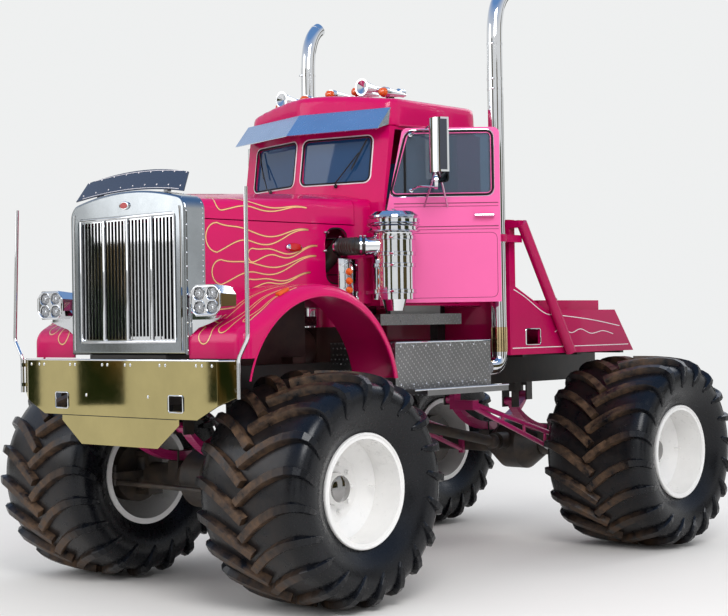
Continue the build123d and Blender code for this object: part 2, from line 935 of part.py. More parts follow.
def hood_faces(y_values, inset, foot):
    """Hood sections, interpolated between the shell and the cowl."""
    faces = []
    for y in y_values:
        share = (y - shell_rear_y) / (hood_rear_y - shell_rear_y)
        half, side_z, shoulder_x, shoulder_z, crown = [
            a + share * (b - a) for a, b in zip(front_face, rear_face)
        ]
        faces.append(
            arched(
                y,
                half - inset,
                foot,
                side_z,
                shoulder_x - inset,
                shoulder_z - inset,
                crown - inset,
            )
        )
    return faces


with BuildPart() as hood_skin:
    loft(hood_faces([shell_rear_y, hood_rear_y], 0, hood_foot), ruled=True)
    loft(
        hood_faces([shell_rear_y - 1, hood_rear_y + 1], hood_wall, hood_foot - 10),
        ruled=True,
        mode=Mode.SUBTRACT,
    )

# Fixed lower sides with the centre spine that carries the lids
with BuildPart() as hood_sides:
    add(hood_skin.part)
    block(
        (-900, 900),
        (shell_rear_y - 10, hood_rear_y + 10),
        (hood_split_z - panel_gap, 3200),
        mode=Mode.SUBTRACT,
    )
    with BuildSketch(side(0)):
        with Locations((-1195, 2480)):
            SlotOverall(420, 230, rotation=90)
    extrude(amount=900, mode=Mode.SUBTRACT)
with BuildPart() as hood_spine:
    add(hood_skin.part)
    block(
        (-spine_half_width, spine_half_width),
        (shell_rear_y - 10, hood_rear_y + 10),
        (2800, 3200),
        mode=Mode.INTERSECT,
    )
    block(
        (-spine_half_width, spine_half_width),
        (hood_rear_y, cowl_front_y),
        (2985, 2999),
    )
hood_rise = (rear_face[-1] - front_face[-1]) / (hood_rear_y - shell_rear_y)
lid_edge = spine_half_width + spine_gap
pin_x = lid_edge - hood_pin_radius - slip
with BuildPart() as hood_fixed:
    add(hood_sides.part)
    for hand in (-1, 1):
        block(
            (hand * (hood_rear_half - hood_wall), hand * hood_rear_half),
            (hood_rear_y, cowl_front_y),
            (hood_foot, hood_split_z - panel_gap),
        )
    add(hood_spine.part)
    # Hinge pins along the spine, close to the lids' edges
    for hand in (-1, 1):
        for start_y, end_y in hood_pin_ys:
            add(
                rod(
                    *(
                        (hand * pin_x, y, front_face[-1] + (y - shell_rear_y) * hood_rise)
                        for y in (start_y, end_y)
                    ),
                    hood_pin_radius,
                )
            )
save(hood_fixed, "hood_sides")

# Hood lids, hinged along the spine
for hand, name in ((1, "hood_left"), (-1, "hood_right")):
    with BuildPart() as lid:
        add(hood_skin.part)
        block(
            (hand * lid_edge, hand * 900),
            (shell_rear_y + lid_front_gap, hood_rear_y),
            (hood_split_z, 3200),
            mode=Mode.INTERSECT,
        )
    save(lid, name)

# Fenders: an arched crown over each front tyre, open underneath
crown_end = radians(crown_end_angle)
crown_end_point = (
    arch_y + crown_radius * cos(crown_end),
    arch_z + crown_radius * sin(crown_end),
)
slope = cos(crown_end) / sin(crown_end)
fender_slope_z = crown_end_point[1] + (crown_end_point[0] - fender_slope_y) * slope


def fender_profile(x, inset, low):
    """Side outline of the fender's crown, drawn in by the inset."""
    radius = crown_radius - inset
    tail = arch_y + sqrt(radius**2 - (fender_tail_z - arch_z) ** 2)
    with BuildSketch(side(x)) as outline:
        with BuildLine():
            end = (arch_y + radius * cos(crown_end), arch_z + radius * sin(crown_end))
            knee = (
                fender_slope_y + inset * 0.5,
                end[1] + (end[0] - fender_slope_y - inset * 0.5) * slope,
            )
            ThreePointArc((tail, fender_tail_z), (arch_y, arch_z + radius), end)
            Line(end, knee)
            nose = (fender_nose_y + inset, fender_nose_z)
            TangentArc(nose, knee, tangent=(0, 1))
            Polyline(nose, (fender_nose_y + inset, low), (tail, low), (tail, fender_tail_z))
        make_face()
    return outline.sketch


fender_inner_x = hood_front_half
with BuildPart() as fender_solid:
    extrude(
        fender_profile(fender_inner_x, 0, fender_tail_z - 20),
        amount=fender_outer_x - fender_inner_x,
    )
    outer_edges = fender_solid.faces().sort_by(Axis.X)[-1].outer_wire().edges()
    top_edges = [e for e in outer_edges if e.center().Z > fender_bottom + 30]
    fillet(top_edges, fender_edge_radius)
with BuildPart() as fender_cavity:
    extrude(
        fender_profile(fender_inner_x - 20, fender_wall, fender_tail_z - 40),
        amount=fender_outer_x - fender_wall - fender_inner_x + 20,
    )
    inner_edges = fender_cavity.faces().sort_by(Axis.X)[-1].outer_wire().edges()
    top_edges = [e for e in inner_edges if e.center().Z > fender_bottom + 30]
    fillet(top_edges, fender_edge_radius - fender_wall)
with BuildPart() as fender:
    add(fender_solid.part)
    add(fender_cavity.part, mode=Mode.SUBTRACT)
    with BuildSketch(side(fender_inner_x)):
        with Locations((arch_y, arch_z)):
            Circle(arch_radius)
    extrude(amount=fender_outer_x, mode=Mode.SUBTRACT)
    # Cut level above the bumper ahead of the arch
    block(
        (fender_inner_x - 10, fender_outer_x + 10),
        (fender_nose_y - 10, arch_y),
        (fender_tail_z - 60, fender_bottom),
        mode=Mode.SUBTRACT,
    )
    block(
        (fender_inner_x - 10, fender_outer_x + 10),
        (arch_y, arch_y + crown_radius + 10),
        (fender_tail_z - 60, fender_tail_z),
        mode=Mode.SUBTRACT,
    )
    # Fitted to the shell's side and the hood's taper
    block(
        (fender_inner_x - 10, shell_half_width + slip),
        (fender_nose_y - 10, shell_rear_y + slip),
        (1500, 2400),
        mode=Mode.SUBTRACT,
    )
    with BuildSketch(Plane.XY.offset(1500)):
        with BuildLine():
            far_y = arch_y + crown_radius + 20
            grow = (hood_rear_half - hood_front_half) / (hood_rear_y - shell_rear_y)
            Polyline(
                (fender_inner_x - 20, shell_rear_y),
                (hood_front_half, shell_rear_y),
                (hood_front_half + grow * (far_y - shell_rear_y), far_y),
                (fender_inner_x - 20, far_y),
                close=True,
            )
        make_face()
    extrude(amount=900, mode=Mode.SUBTRACT)
with BuildPart() as fenders:
    add(fender.part)
    mirror(fender.part, about=Plane.YZ)
save(fenders, "fenders")

# Headlamp pods: eight-sided housings on arms from the radiator shell
pod_x = 880.0
pod_z = 2140.0
pod_width = 320.0
pod_height = 215.0
pod_front_y = -2690.0
pod_depth = 150.0
lamp_pitch_x = 132.0
lamp_pitch_z = 96.0
lamp_width = 112.0
lamp_height = 88.0
lamp_recess = 14.0
with BuildPart() as pod:
    with BuildSketch(section(pod_front_y)):
        with Locations((pod_x, pod_z)):
            Rectangle(pod_width, pod_height)
        chamfer(vertices(), 62)
    extrude(amount=-pod_depth, taper=6)
    with BuildSketch(section(pod_front_y)):
        with Locations((pod_x, pod_z)):
            with GridLocations(lamp_pitch_x, lamp_pitch_z, 2, 2):
                RectangleRounded(lamp_width, lamp_height, 40)
    extrude(amount=-lamp_recess - 20, mode=Mode.SUBTRACT)
    arm_plane = Plane.XY.offset(pod_z - pod_height / 2 - 22)
    with BuildSketch(arm_plane):
        with BuildLine():
            Polyline(
                (shell_half_width + slip, pod_front_y + 60),
                (pod_x + 40, pod_front_y + 50),
                (pod_x + 40, pod_front_y + 110),
                (shell_half_width + slip, pod_front_y + 145),
                close=True,
            )
        make_face()
    extrude(amount=46)
    block(
        (shell_half_width + slip, shell_half_width + 16),
        (pod_front_y + 60, pod_front_y + 145),
        (pod_z - pod_height / 2 - 22, pod_z + 20),
    )
with BuildPart() as headlamp_pods:
    add(pod.part)
    mirror(pod.part, about=Plane.YZ)
save(headlamp_pods, "headlamp_pods")

# Headlamp lenses, seated in the pods
with BuildPart() as lens_set:
    with BuildSketch(section(pod_front_y + lamp_recess + 20)):
        with Locations((pod_x, pod_z)):
            with GridLocations(lamp_pitch_x, lamp_pitch_z, 2, 2):
                RectangleRounded(lamp_width - 2 * slip, lamp_height - 2 * slip, 40 - slip)
    extrude(amount=20)
with BuildPart() as headlamp_lenses:
    add(lens_set.part)
    mirror(lens_set.part, about=Plane.YZ)
save(headlamp_lenses, "headlamp_lenses")

# Cab body: floor, cowl, pillars and rear wall round the door openings
belt_corner_y = windshield_centre_y + cab_half_width * sweep_slope


def cab_plan(z, inset):
    """Level outline of the cab, its front swept back from the centre."""
    lean = windshield_rake * (z - cab_belt) / (cab_eaves - cab_belt)
    centre = windshield_centre_y + lean + inset / cos(radians(windshield_sweep))
    half = cab_half_width - inset
    corner = centre + half * sweep_slope
    with BuildSketch(Plane.XY.offset(z)) as outline:
        with BuildLine():
            Polyline(
                (0, centre),
                (half, corner),
                (half, cab_rear_y - inset),
                (-half, cab_rear_y - inset),
                (-half, corner),
                close=True,
            )
        make_face()
    return outline.sketch


with BuildPart() as greenhouse:
    loft([cab_plan(cab_belt, 0), cab_plan(cab_eaves, 0)], ruled=True)
    loft(
        [cab_plan(cab_belt - 1, cab_wall), cab_plan(cab_eaves + 1, cab_wall)],
        ruled=True,
        mode=Mode.SUBTRACT,
    )
with BuildPart() as tub:
    block(
        (-cab_half_width, cab_half_width),
        (firewall_y, cab_rear_y),
        (cab_floor, cab_belt),
    )
    block(
        (-cab_half_width + cab_wall, cab_half_width - cab_wall),
        (firewall_y + cab_wall, cab_rear_y - cab_wall),
        (cab_floor + cab_wall, cab_belt + 1),
        mode=Mode.SUBTRACT,
    )
cowl_face = [2850.0, 612.0, 2934.0, 3004.0]
with BuildPart() as cowl:
    loft(
        [
            arched(cowl_front_y, hood_rear_half, hood_foot - 60, *rear_face[1:]),
            arched(belt_corner_y + 20, cowl_half_width, hood_foot - 60, *cowl_face),
        ],
        ruled=True,
    )
    loft(
        [cab_plan(cab_belt, cab_wall / 2), cab_plan(cab_eaves, cab_wall / 2)],
        ruled=True,
        mode=Mode.SUBTRACT,
    )
    block(
        (-cowl_half_width + cab_wall, cowl_half_width - cab_wall),
        (cowl_front_y - 1, firewall_y),
        (hood_foot - 61, 2880),
        mode=Mode.SUBTRACT,
    )
    block(
        (-cab_half_width, cab_half_width),
        (firewall_y + 1, cab_rear_y),
        (hood_foot - 61, cab_belt),
        mode=Mode.SUBTRACT,
    )

door_front_y = hinge_y + hinge_pin_radius + slip
door_rear_y = door_front_y + door_length - 5.0
slant_top_y = door_front_y + door_top_setback


def door_outline(x, grow):
    """Side outline of a shut door, grown by a margin."""
    with BuildSketch(side(x)) as outline:
        with BuildLine():
            Polyline(
                (door_front_y - grow, door_bottom - grow),
                (door_front_y - grow, door_slant_z),
                (slant_top_y - grow, door_top + grow),
                (door_rear_y + grow, door_top + grow),
                (door_rear_y + grow, door_bottom - grow),
                close=True,
            )
        make_face()
    return outline.sketch


pane_half = 305.0
pane_height = 345.0
pane_centre_x = 345.0
pane_centre_z = 3250.0
pane_lean = windshield_rake * (pane_centre_z - cab_belt) / (cab_eaves - cab_belt)
along = Vector(1, sweep_slope, 0).normalized()
up = Vector(0, windshield_rake, cab_eaves - cab_belt).normalized()
pane_normal = along.cross(up).normalized()
pane_origin = Vector(
    pane_centre_x,
    windshield_centre_y + pane_lean + pane_centre_x * sweep_slope,
    pane_centre_z,
)
pane_plane = Plane(origin=pane_origin, x_dir=along, z_dir=pane_normal)
rear_window = (760.0, 300.0, 3200.0)


def pane(margin, start, thickness):
    """Rounded windshield pane, from a depth behind the outer face."""
    with BuildPart() as glass:
        with BuildSketch(pane_plane.offset(-start)):
            RectangleRounded(2 * pane_half - 2 * margin, pane_height - 2 * margin, 40)
        extrude(amount=-thickness)
    return glass.part


with BuildPart() as cab_body:
    add(greenhouse.part)
    add(tub.part)
    add(cowl.part)
    for hand in (-1, 1):
        cut_x = cab_half_width + 1 if hand > 0 else -cab_half_width + cab_wall + 1
        extrude(
            door_outline(cut_x, door_gap), amount=-cab_wall - 2, mode=Mode.SUBTRACT
        )
    add(pane(0, -10, cab_wall + 60), mode=Mode.SUBTRACT)
    add(mirror(pane(0, -10, cab_wall + 60), about=Plane.YZ), mode=Mode.SUBTRACT)
    with BuildSketch(section(cab_rear_y + 1)):
        with Locations((0, rear_window[2])):
            RectangleRounded(rear_window[0], rear_window[1], 50)
    extrude(amount=cab_wall + 2, mode=Mode.SUBTRACT)
    # Hinge pins in front of each door
    for x in (-cab_half_width, cab_half_width):
        for z in hinge_pin_zs:
            add(rod((x, hinge_y, z), (x, hinge_y, z + 110), hinge_pin_radius))
save(cab_body, "cab_body")

# Cab glass: two swept windshield panes and the rear window
with BuildPart() as cab_glass:
    add(pane(slip, 16, glass_thickness))
    add(mirror(pane(slip, 16, glass_thickness), about=Plane.YZ))
    with BuildSketch(section(cab_rear_y - 16)):
        with Locations((0, rear_window[2])):
            RectangleRounded(
                rear_window[0] - 2 * slip, rear_window[1] - 2 * slip, 50 - slip
            )
    extrude(amount=glass_thickness)
save(cab_glass, "cab_glass")

# Cab roof: a crowned shell over the eaves
roof_half = cab_half_width + 10
roof_apex_y = windshield_centre_y + windshield_rake - 6
roof_corner_y = roof_apex_y + roof_half * sweep_slope
roof_shoulder_x = roof_half - 60
roof_shoulder_z = roof_side_z + 20
roof_drop = roof_crown - roof_shoulder_z
roof_arc_radius = (roof_shoulder_x**2 + roof_drop**2) / (2 * roof_drop)


def roof_z(x):
    """Height of the roof's crown at a distance from the middle."""
    return roof_crown - roof_arc_radius + sqrt(roof_arc_radius**2 - x**2)


def roof_form(inset):
    """Crowned roof block with rounded corners, drawn in by the inset."""
    half = roof_half - inset
    with BuildPart() as form:
        with BuildSketch(Plane.XY.offset(cab_eaves - (1 if inset else 0))):
            with BuildLine():
                Polyline(
                    (0, roof_apex_y + inset),
                    (half, roof_corner_y + inset),
                    (half, cab_rear_y + 6 - inset),
                    (-half, cab_rear_y + 6 - inset),
                    (-half, roof_corner_y + inset),
                    close=True,
                )
            make_face()
        extrude(amount=roof_crown - cab_eaves)
        corners = form.edges().filter_by(Axis.Z).sort_by(Axis.Y)[1:]
        fillet(corners, roof_corner_radius - inset)
        extrude(
            arched(
                roof_apex_y - 100,
                half + 5,
                cab_eaves - 10,
                roof_side_z - inset,
                roof_shoulder_x,
                roof_shoulder_z - inset,
                roof_crown - inset,
            ),
            amount=-2000,
            mode=Mode.INTERSECT,
        )
    return form.part


with BuildPart() as cab_roof:
    add(roof_form(0))
    add(roof_form(roof_wall), mode=Mode.SUBTRACT)
save(cab_roof, "cab_roof")


# Sun visor: a folded sheet ahead of the roof, above both panes
visor_top = 3640.0
visor_rise = 175.0
visor_reach = 150.0
visor_sheet = 5.0
visor_half_width = 805.0
visor_top_y = roof_apex_y - visor_sheet - slip
visor_shift = visor_half_width * sweep_slope
with BuildPart() as visor_half:
    for x, y in ((0, visor_top_y), (visor_half_width, visor_top_y + visor_shift)):
        with BuildSketch(Plane.YZ.offset(x)):
            with BuildLine():
                Polyline(
                    (y, visor_top),
                    (y - visor_reach, visor_top - visor_rise),
                    (y - visor_reach + visor_sheet, visor_top - visor_rise - 4),
                    (y + visor_sheet, visor_top - 7),
                    close=True,
                )
            make_face()
    loft(ruled=True)
    # End cheek
    with BuildSketch(Plane.YZ.offset(visor_half_width)):
        with BuildLine():
            Polyline(
                (y, visor_top),
                (y - visor_reach, visor_top - visor_rise),
                (y - 25, visor_top - visor_rise + 40),
                close=True,
            )
        make_face()
    extrude(amount=-8)
with BuildPart() as sun_visor:
    add(visor_half.part)
    mirror(visor_half.part, about=Plane.YZ)
save(sun_visor, "sun_visor")

# Doors, drawn shut: hollow frame with its window, on a strap hinge at the front edge
window_front_y = door_front_y + 62
window_rear_y = door_rear_y - 70


def window_outline(x, margin):
    """Door window with a front edge that follows the pillar."""
    with BuildSketch(side(x)) as outline:
        with BuildLine():
            Polyline(
                (window_front_y + margin, door_window_bottom + margin),
                (slant_top_y + 45 + margin, door_window_top - margin),
                (window_rear_y - margin, door_window_top - margin),
                (window_rear_y - margin, door_window_bottom + margin),
                close=True,
            )
        make_face()
        fillet(outline.vertices(), 30)
    return outline.sketch


with BuildPart() as door:
    extrude(door_outline(cab_half_width, 0), amount=-cab_wall)
    fillet(door.edges().filter_by(Axis.X).sort_by(Axis.Z)[-2:], 50)
    extrude(
        window_outline(cab_half_width + 1, 0),
        amount=-cab_wall - 2,
        mode=Mode.SUBTRACT,
    )
    # Handle
    block(
        (cab_half_width, cab_half_width + 26),
        (door_rear_y - 190, door_rear_y - 50),
        (2770, 2800),
    )
with BuildPart() as door_pane:
    extrude(window_outline(cab_half_width - 20, slip), amount=-glass_thickness)

# Mirror: tall head on a looped bracket, with a round mirror below
mirror_x = cab_half_width + mirror_reach
mirror_y = hinge_y + mirror_along
head_plane = Plane(
    origin=(mirror_x, mirror_y + mirror_depth / 2, mirror_z - mirror_height / 2),
    x_dir=(cos(radians(mirror_swivel)), sin(radians(mirror_swivel)), 0),
    z_dir=(0, 0, 1),
)
head_back = mirror_width / 2 - 15
with BuildPart() as door_mirror:
    # Head with a rounded back and a flat rear face
    with BuildSketch(head_plane):
        with BuildLine():
            Polyline(
                (-head_back, -mirror_depth / 4),
                (-mirror_width / 2, mirror_depth / 2),
                (mirror_width / 2, mirror_depth / 2),
                (head_back, -mirror_depth / 4),
            )
            ThreePointArc(
                (-head_back, -mirror_depth / 4),
                (0, -mirror_depth / 2),
                (head_back, -mirror_depth / 4),
            )
        make_face()
    extrude(amount=mirror_height)
    arm_y = mirror_y + mirror_depth / 2
    for door_z, head_z in (
        (mirror_z + 140, mirror_z + mirror_height / 2 - 10),
        (mirror_z - 440, mirror_z - mirror_height / 2 + 10),
    ):
        for spread in (-45, 45):
            add(
                rod(
                    (cab_half_width + slip, arm_y + 2 * spread, door_z),
                    (mirror_x - 5, arm_y + spread / 3, head_z),
                    8,
                )
            )
    # Round mirror below, on a short stem
    with BuildSketch(
        Plane((mirror_x, mirror_y + 20, mirror_z - mirror_height / 2 - 68), z_dir=(0, 1, 0))
    ):
        Circle(58)
    extrude(amount=25)
    add(
        rod(
            (mirror_x, mirror_y + 32, mirror_z - mirror_height / 2 - 30),
            (mirror_x, mirror_y + 32, mirror_z - mirror_height / 2 + 20),
            8,
        )
    )

with BuildPart() as mirror_trim:
    add(door_mirror.part)
    block(
        (cab_half_width - 60, cab_half_width + slip),
        (mirror_y - 120, mirror_y + 220),
        (2700, 3600),
        mode=Mode.SUBTRACT,
    )

# The left door stands open, the right door is shut
hinge_axis = Axis((cab_half_width, hinge_y, 0), (0, 0, 1))
for name, shut in (
    ("door", door.part),
    ("door_glass", door_pane.part),
    ("mirror", mirror_trim.part),
):
    with BuildPart() as left_piece:
        add(shut.rotate(hinge_axis, -door_open_angle))
    save(left_piece, f"{name}_left")
    with BuildPart() as right_piece:
        add(mirror(shut, about=Plane.YZ))
    save(right_piece, f"{name}_right")

# Seats: a cushion and a back for each person
seat_foot = cab_floor + cab_wall + slip
with BuildPart() as seats:
    for x in (-400.0, 400.0):
        block((x - 220, x + 220), (-280, 200), (seat_foot, 2420))
        block((x - 220, x + 220), (200, 330), (seat_foot, 3020))
save(seats, "seats")

# Dashboard with column and steering wheel
dash_front_y = firewall_y + cab_wall + slip
with BuildPart() as dashboard:
    block((-730, 730), (dash_front_y, dash_front_y + 170), (2560, 2890))
    column_start = Vector(400, dash_front_y + 160, 2600)
    column_end = Vector(400, dash_front_y + 330, 2790)
    column = Plane(origin=column_start, z_dir=column_end - column_start)
    with BuildSketch(column):
        Circle(28)
    extrude(amount=(column_end - column_start).length)
    with BuildSketch(column.offset((column_end - column_start).length - 20)):
        Circle(230)
        Circle(200, mode=Mode.SUBTRACT)
        Rectangle(440, 30)
    extrude(amount=24)
save(dashboard, "dashboard")

# Roof lamps: five tapered bodies facing forward
lamp_x_pitch = 292.0
lamp_y = -520.0
lamp_rise = 54.0
lamp_xs = [step * lamp_x_pitch for step in range(-2, 3)]
with BuildPart() as roof_lamps:
    for x in lamp_xs:
        z = roof_z(x) + lamp_rise
        with BuildSketch(Plane((x, lamp_y, z), x_dir=(1, 0, 0), z_dir=(0, 0, 1))):
            with BuildLine():
                Polyline((0, 0), (42, 0), (42, 40), (12, 260), (0, 260), close=True)
            make_face()
        revolve(axis=Axis((x, lamp_y, z), (0, 1, 0)))
        seat_z = roof_z(max(abs(x) - 14, 0)) + slip
        block((x - 14, x + 14), (lamp_y + 60, lamp_y + 110), (seat_z, z))
save(roof_lamps, "roof_lamps")

# Amber lenses on the roof lamps
with BuildPart() as amber_lenses:
    for x in lamp_xs:
        z = roof_z(x) + lamp_rise
        with BuildSketch(Plane((x, lamp_y, z), x_dir=(1, 0, 0), z_dir=(0, 0, 1))):
            with BuildLine():
                Polyline((0, 0), (36, 0), (30, -34), (14, -50), (0, -52), close=True)
            make_face()
        revolve(axis=Axis((x, lamp_y, z), (0, 1, 0)))
save(amber_lenses, "amber_lenses")

# Air horns: two flared trumpets on the roof
horn_x = 455.0
horn_y = -640.0
horn_rise = 78.0
with BuildPart() as air_horns:
    for x in (-horn_x, horn_x):
        z = roof_z(x) + horn_rise
        with BuildSketch(Plane((x, horn_y, z), x_dir=(1, 0, 0), z_dir=(0, 0, 1))):
            with BuildLine():
                Polyline(
                    (0, 30),
                    (55, 0),
                    (68, 0),
                    (48, 60),
                    (26, 150),
                    (18, 420),
                    (34, 440),
                    (34, 500),
                    (0, 500),
                    close=True,
                )
            make_face()
        revolve(axis=Axis((x, horn_y, z), (0, 1, 0)))
        seat_z = roof_z(abs(x) - 12) + slip
        block((x - 12, x + 12), (horn_y + 300, horn_y + 330), (seat_z, z))
save(air_horns, "air_horns")

# Air cleaner: banded canister on brackets from the cowl, left side
cleaner_x = 1050.0
cleaner_y = -958.0
cleaner_radius = 158.0
cleaner_cap_radius = 200.0
cleaner_bottom = 2142.0
band_height = 8.0
cap_profile = [  # share of the cap's radius, Z
    (0.80, 2640),
    (0.95, 2660),
    (0.95, 2686),
    (0.84, 2698),
    (1.00, 2716),
    (1.00, 2744),
    (0.88, 2756),
    (0.96, 2770),
    (0.75, 2800),
    (0.30, 2812),
    (0.00, 2812),
]
with BuildPart() as air_cleaner:
    with BuildSketch(Plane((cleaner_x, cleaner_y, 0), x_dir=(1, 0, 0), z_dir=(0, -1, 0))):
        with BuildLine():
            Polyline(
                (0, cleaner_bottom - 84),
                (70, cleaner_bottom - 84),
                (92, cleaner_bottom),
                (cleaner_radius, cleaner_bottom),
                (cleaner_radius, cap_profile[0][1] - 8),
                *((share * cleaner_cap_radius, z) for share, z in cap_profile),
                close=True,
            )
        make_face()
    revolve(axis=Axis((cleaner_x, cleaner_y, 0), (0, 0, 1)))
    # Bands; the outer two carry the canister's brackets
    for z, carries in ((2190.0, True), (2385.0, False), (2590.0, False), (2470.0, True)):
        with BuildSketch(Plane.XY.offset(z)):
            with Locations((cleaner_x, cleaner_y)):
                Circle(cleaner_radius + band_height)
        extrude(amount=26)
        if carries:
            block(
                (cowl_half_width + slip, cleaner_x - cleaner_radius + 20),
                (cleaner_y + 60, cleaner_y + 110),
                (z, z + 26),
            )
save(air_cleaner, "air_cleaner")

# Intake pipe from the canister to the engine
intake_z = 2545.0
intake_y = -1200.0
intake_radius = 62.0
with BuildPart() as intake_pipe:
    with BuildLine():
        FilletPolyline(
            (cleaner_x - 60, cleaner_y - 120, intake_z),
            (cleaner_x - 160, intake_y, intake_z),
            (720, intake_y, intake_z),
            (520, intake_y, intake_z - 150),
            (engine_half_width + slip, intake_y, intake_z - 150),
            radius=80,
        )
    with BuildSketch(
        Plane(
            (cleaner_x - 60, cleaner_y - 120, intake_z),
            z_dir=(-100, intake_y - cleaner_y + 120, 0),
        )
    ):
        Circle(intake_radius)
    sweep()
    with Locations((cleaner_x, cleaner_y, intake_z)):
        Cylinder(cleaner_radius + band_height + slip, 400, mode=Mode.SUBTRACT)
save(intake_pipe, "intake_pipe")

# Exhaust stacks with turned-back tips, from an elbow beside each step
with BuildPart() as stack:
    with BuildLine():
        FilletPolyline(
            (stack_x, step_rear_y + slip, stack_foot),
            (stack_x, stack_y, stack_foot),
            (stack_x, stack_y, stack_top),
            (stack_x, stack_y + 150, stack_top + 200),
            radius=150,
        )
    with BuildSketch(
        Plane((stack_x, step_rear_y + slip, stack_foot), x_dir=(1, 0, 0), z_dir=(0, 1, 0))
    ):
        Circle(stack_radius)
    sweep()
with BuildPart() as stacks:
    add(stack.part)
    mirror(stack.part, about=Plane.YZ)
save(stacks, "stacks")

# Steps: a plated box each side with a ledge below and a sill under the door
with BuildPart() as step:
    block((frame_half_width, step_outer_x), (step_front_y, step_rear_y), (step_bottom, step_top))
    block((900, 1280), (-860, 130), (step_bottom - 46, step_bottom))
    block((cab_half_width - 60, 900), (-950, 20), (1950, 2035))
    block((cab_half_width - 60, cab_half_width - 10), (-700, -100), (2035, cab_floor))
with BuildPart() as steps:
    add(step.part)
    mirror(step.part, about=Plane.YZ)
save(steps, "steps")

# Deck: a raised cover behind the cab, open below
deck_profile = [  # Y, Z
    (deck_front_y, deck_bottom),
    (deck_front_y, deck_peak),
    (deck_front_y + 60, deck_peak),
    (deck_slope_y, deck_top),
    (deck_tail_y, deck_top),
    (deck_rear_y, deck_bottom),
]
deck_slope = (deck_top - deck_peak) / (deck_slope_y - deck_front_y - 60)
with BuildPart() as deck:
    with BuildSketch(side(-deck_half_width)):
        with BuildLine():
            Polyline(*deck_profile, close=True)
        make_face()
    extrude(amount=2 * deck_half_width)
    with BuildSketch(side(-deck_half_width + deck_wall)):
        with BuildLine():
            Polyline(*deck_profile, close=True)
        make_face()
        offset(amount=-deck_wall, mode=Mode.REPLACE)
        with Locations(((deck_front_y + deck_rear_y) / 2, deck_bottom)):
            Rectangle(deck_rear_y - deck_front_y - 200, 2 * deck_wall + 20)
    extrude(amount=2 * (deck_half_width - deck_wall), mode=Mode.SUBTRACT)
    block(
        (-950, 950),
        (deck_slope_y + 100, deck_tail_y - 30),
        (deck_top - 5, deck_top + deck_cover),
    )
    # Square filler openings in both flanks
    with BuildSketch(side(-deck_half_width - 1)):
        with Locations((713, 1835)):
            RectangleRounded(190, 120, 14)
    extrude(amount=2 * deck_half_width + 2, mode=Mode.SUBTRACT)
    # Notched round the back of the cab
    block(
        (-cab_half_width - 12, cab_half_width + 12),
        (deck_front_y - 10, cab_rear_y + 12),
        (cab_floor - 12, deck_peak + 10),
        mode=Mode.SUBTRACT,
    )
save(deck, "deck")

# Deck supports: bars across the rails, between the deck's flanks
support_half = deck_half_width - deck_wall - slip
support_ys = [620.0, rear_axle_y - 548, rear_axle_y + 112]
with BuildPart() as deck_supports:
    for y in support_ys:
        block(
            (-support_half, support_half),
            (y - 30, y + 30),
            (rail_top + slip, deck_bottom + 50),
        )
save(deck_supports, "deck_supports")

# Rack behind the cab: posts, a top bar with stack clamps and a brace each side
rack_y = 450.0
rack_x = 1000.0
rack_top = 2800.0
clamp_z = 2640.0
brace_run = 705.0
brace_radius = 44.0
brace_x = deck_half_width + brace_radius + slip
post_front = rack_y + 30
post_rear = rack_y + 110
with BuildPart() as brace_frame:
    for x in (-rack_x, rack_x):
        with BuildSketch(side(x - 40)):
            with BuildLine():
                Polyline(
                    (post_front, deck_peak + deck_slope * (post_front - deck_front_y - 60) + slip),
                    (post_front, rack_top),
                    (post_rear, rack_top),
                    (post_rear, deck_peak + deck_slope * (post_rear - deck_front_y - 60) + slip),
                    close=True,
                )
            make_face()
        extrude(amount=80)
    block((-rack_x, rack_x), (post_front, post_rear), (rack_top - 80, rack_top))
    for hand in (-1, 1):
        foot = (hand * brace_x, post_front + brace_run, 1700)
        head = (hand * brace_x, post_front + 40, rack_top - 30)
        add(rod(foot, head, brace_radius))
        block(
            (hand * rack_x, hand * brace_x),
            (post_front, post_rear),
            (rack_top - 70, rack_top - 10),
        )
        # Clamp half round the stack
        block(
            (hand * (rack_x - 40), hand * (stack_x + 50)),
            (stack_y, post_rear),
            (clamp_z - 30, clamp_z + 30),
        )
        with Locations((hand * stack_x, stack_y, clamp_z)):
            Cylinder(stack_radius + 14, 60)
            Cylinder(stack_radius + slip, 80, mode=Mode.SUBTRACT)
save(brace_frame, "brace_frame")
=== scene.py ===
import bmesh
import bpy
from math import cos, pi, radians, sin, sqrt
from mathutils import Matrix, Vector
from mathutils.bvhtree import BVHTree


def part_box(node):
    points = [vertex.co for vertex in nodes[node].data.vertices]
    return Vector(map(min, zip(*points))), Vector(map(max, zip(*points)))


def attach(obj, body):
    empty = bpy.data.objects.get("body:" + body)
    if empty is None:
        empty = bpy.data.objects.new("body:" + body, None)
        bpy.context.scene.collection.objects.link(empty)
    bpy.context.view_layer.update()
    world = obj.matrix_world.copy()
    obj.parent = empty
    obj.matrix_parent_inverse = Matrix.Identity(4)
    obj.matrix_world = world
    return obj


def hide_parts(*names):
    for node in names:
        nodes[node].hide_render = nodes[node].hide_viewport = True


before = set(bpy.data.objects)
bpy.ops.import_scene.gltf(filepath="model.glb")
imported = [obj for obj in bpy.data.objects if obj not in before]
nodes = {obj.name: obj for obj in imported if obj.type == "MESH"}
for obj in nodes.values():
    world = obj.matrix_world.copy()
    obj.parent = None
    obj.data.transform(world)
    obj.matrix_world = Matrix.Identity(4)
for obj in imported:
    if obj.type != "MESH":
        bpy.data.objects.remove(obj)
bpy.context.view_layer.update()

scene = bpy.context.scene
scene.view_settings.view_transform = "Standard"
print("frame loaded:", len(nodes), "nodes")

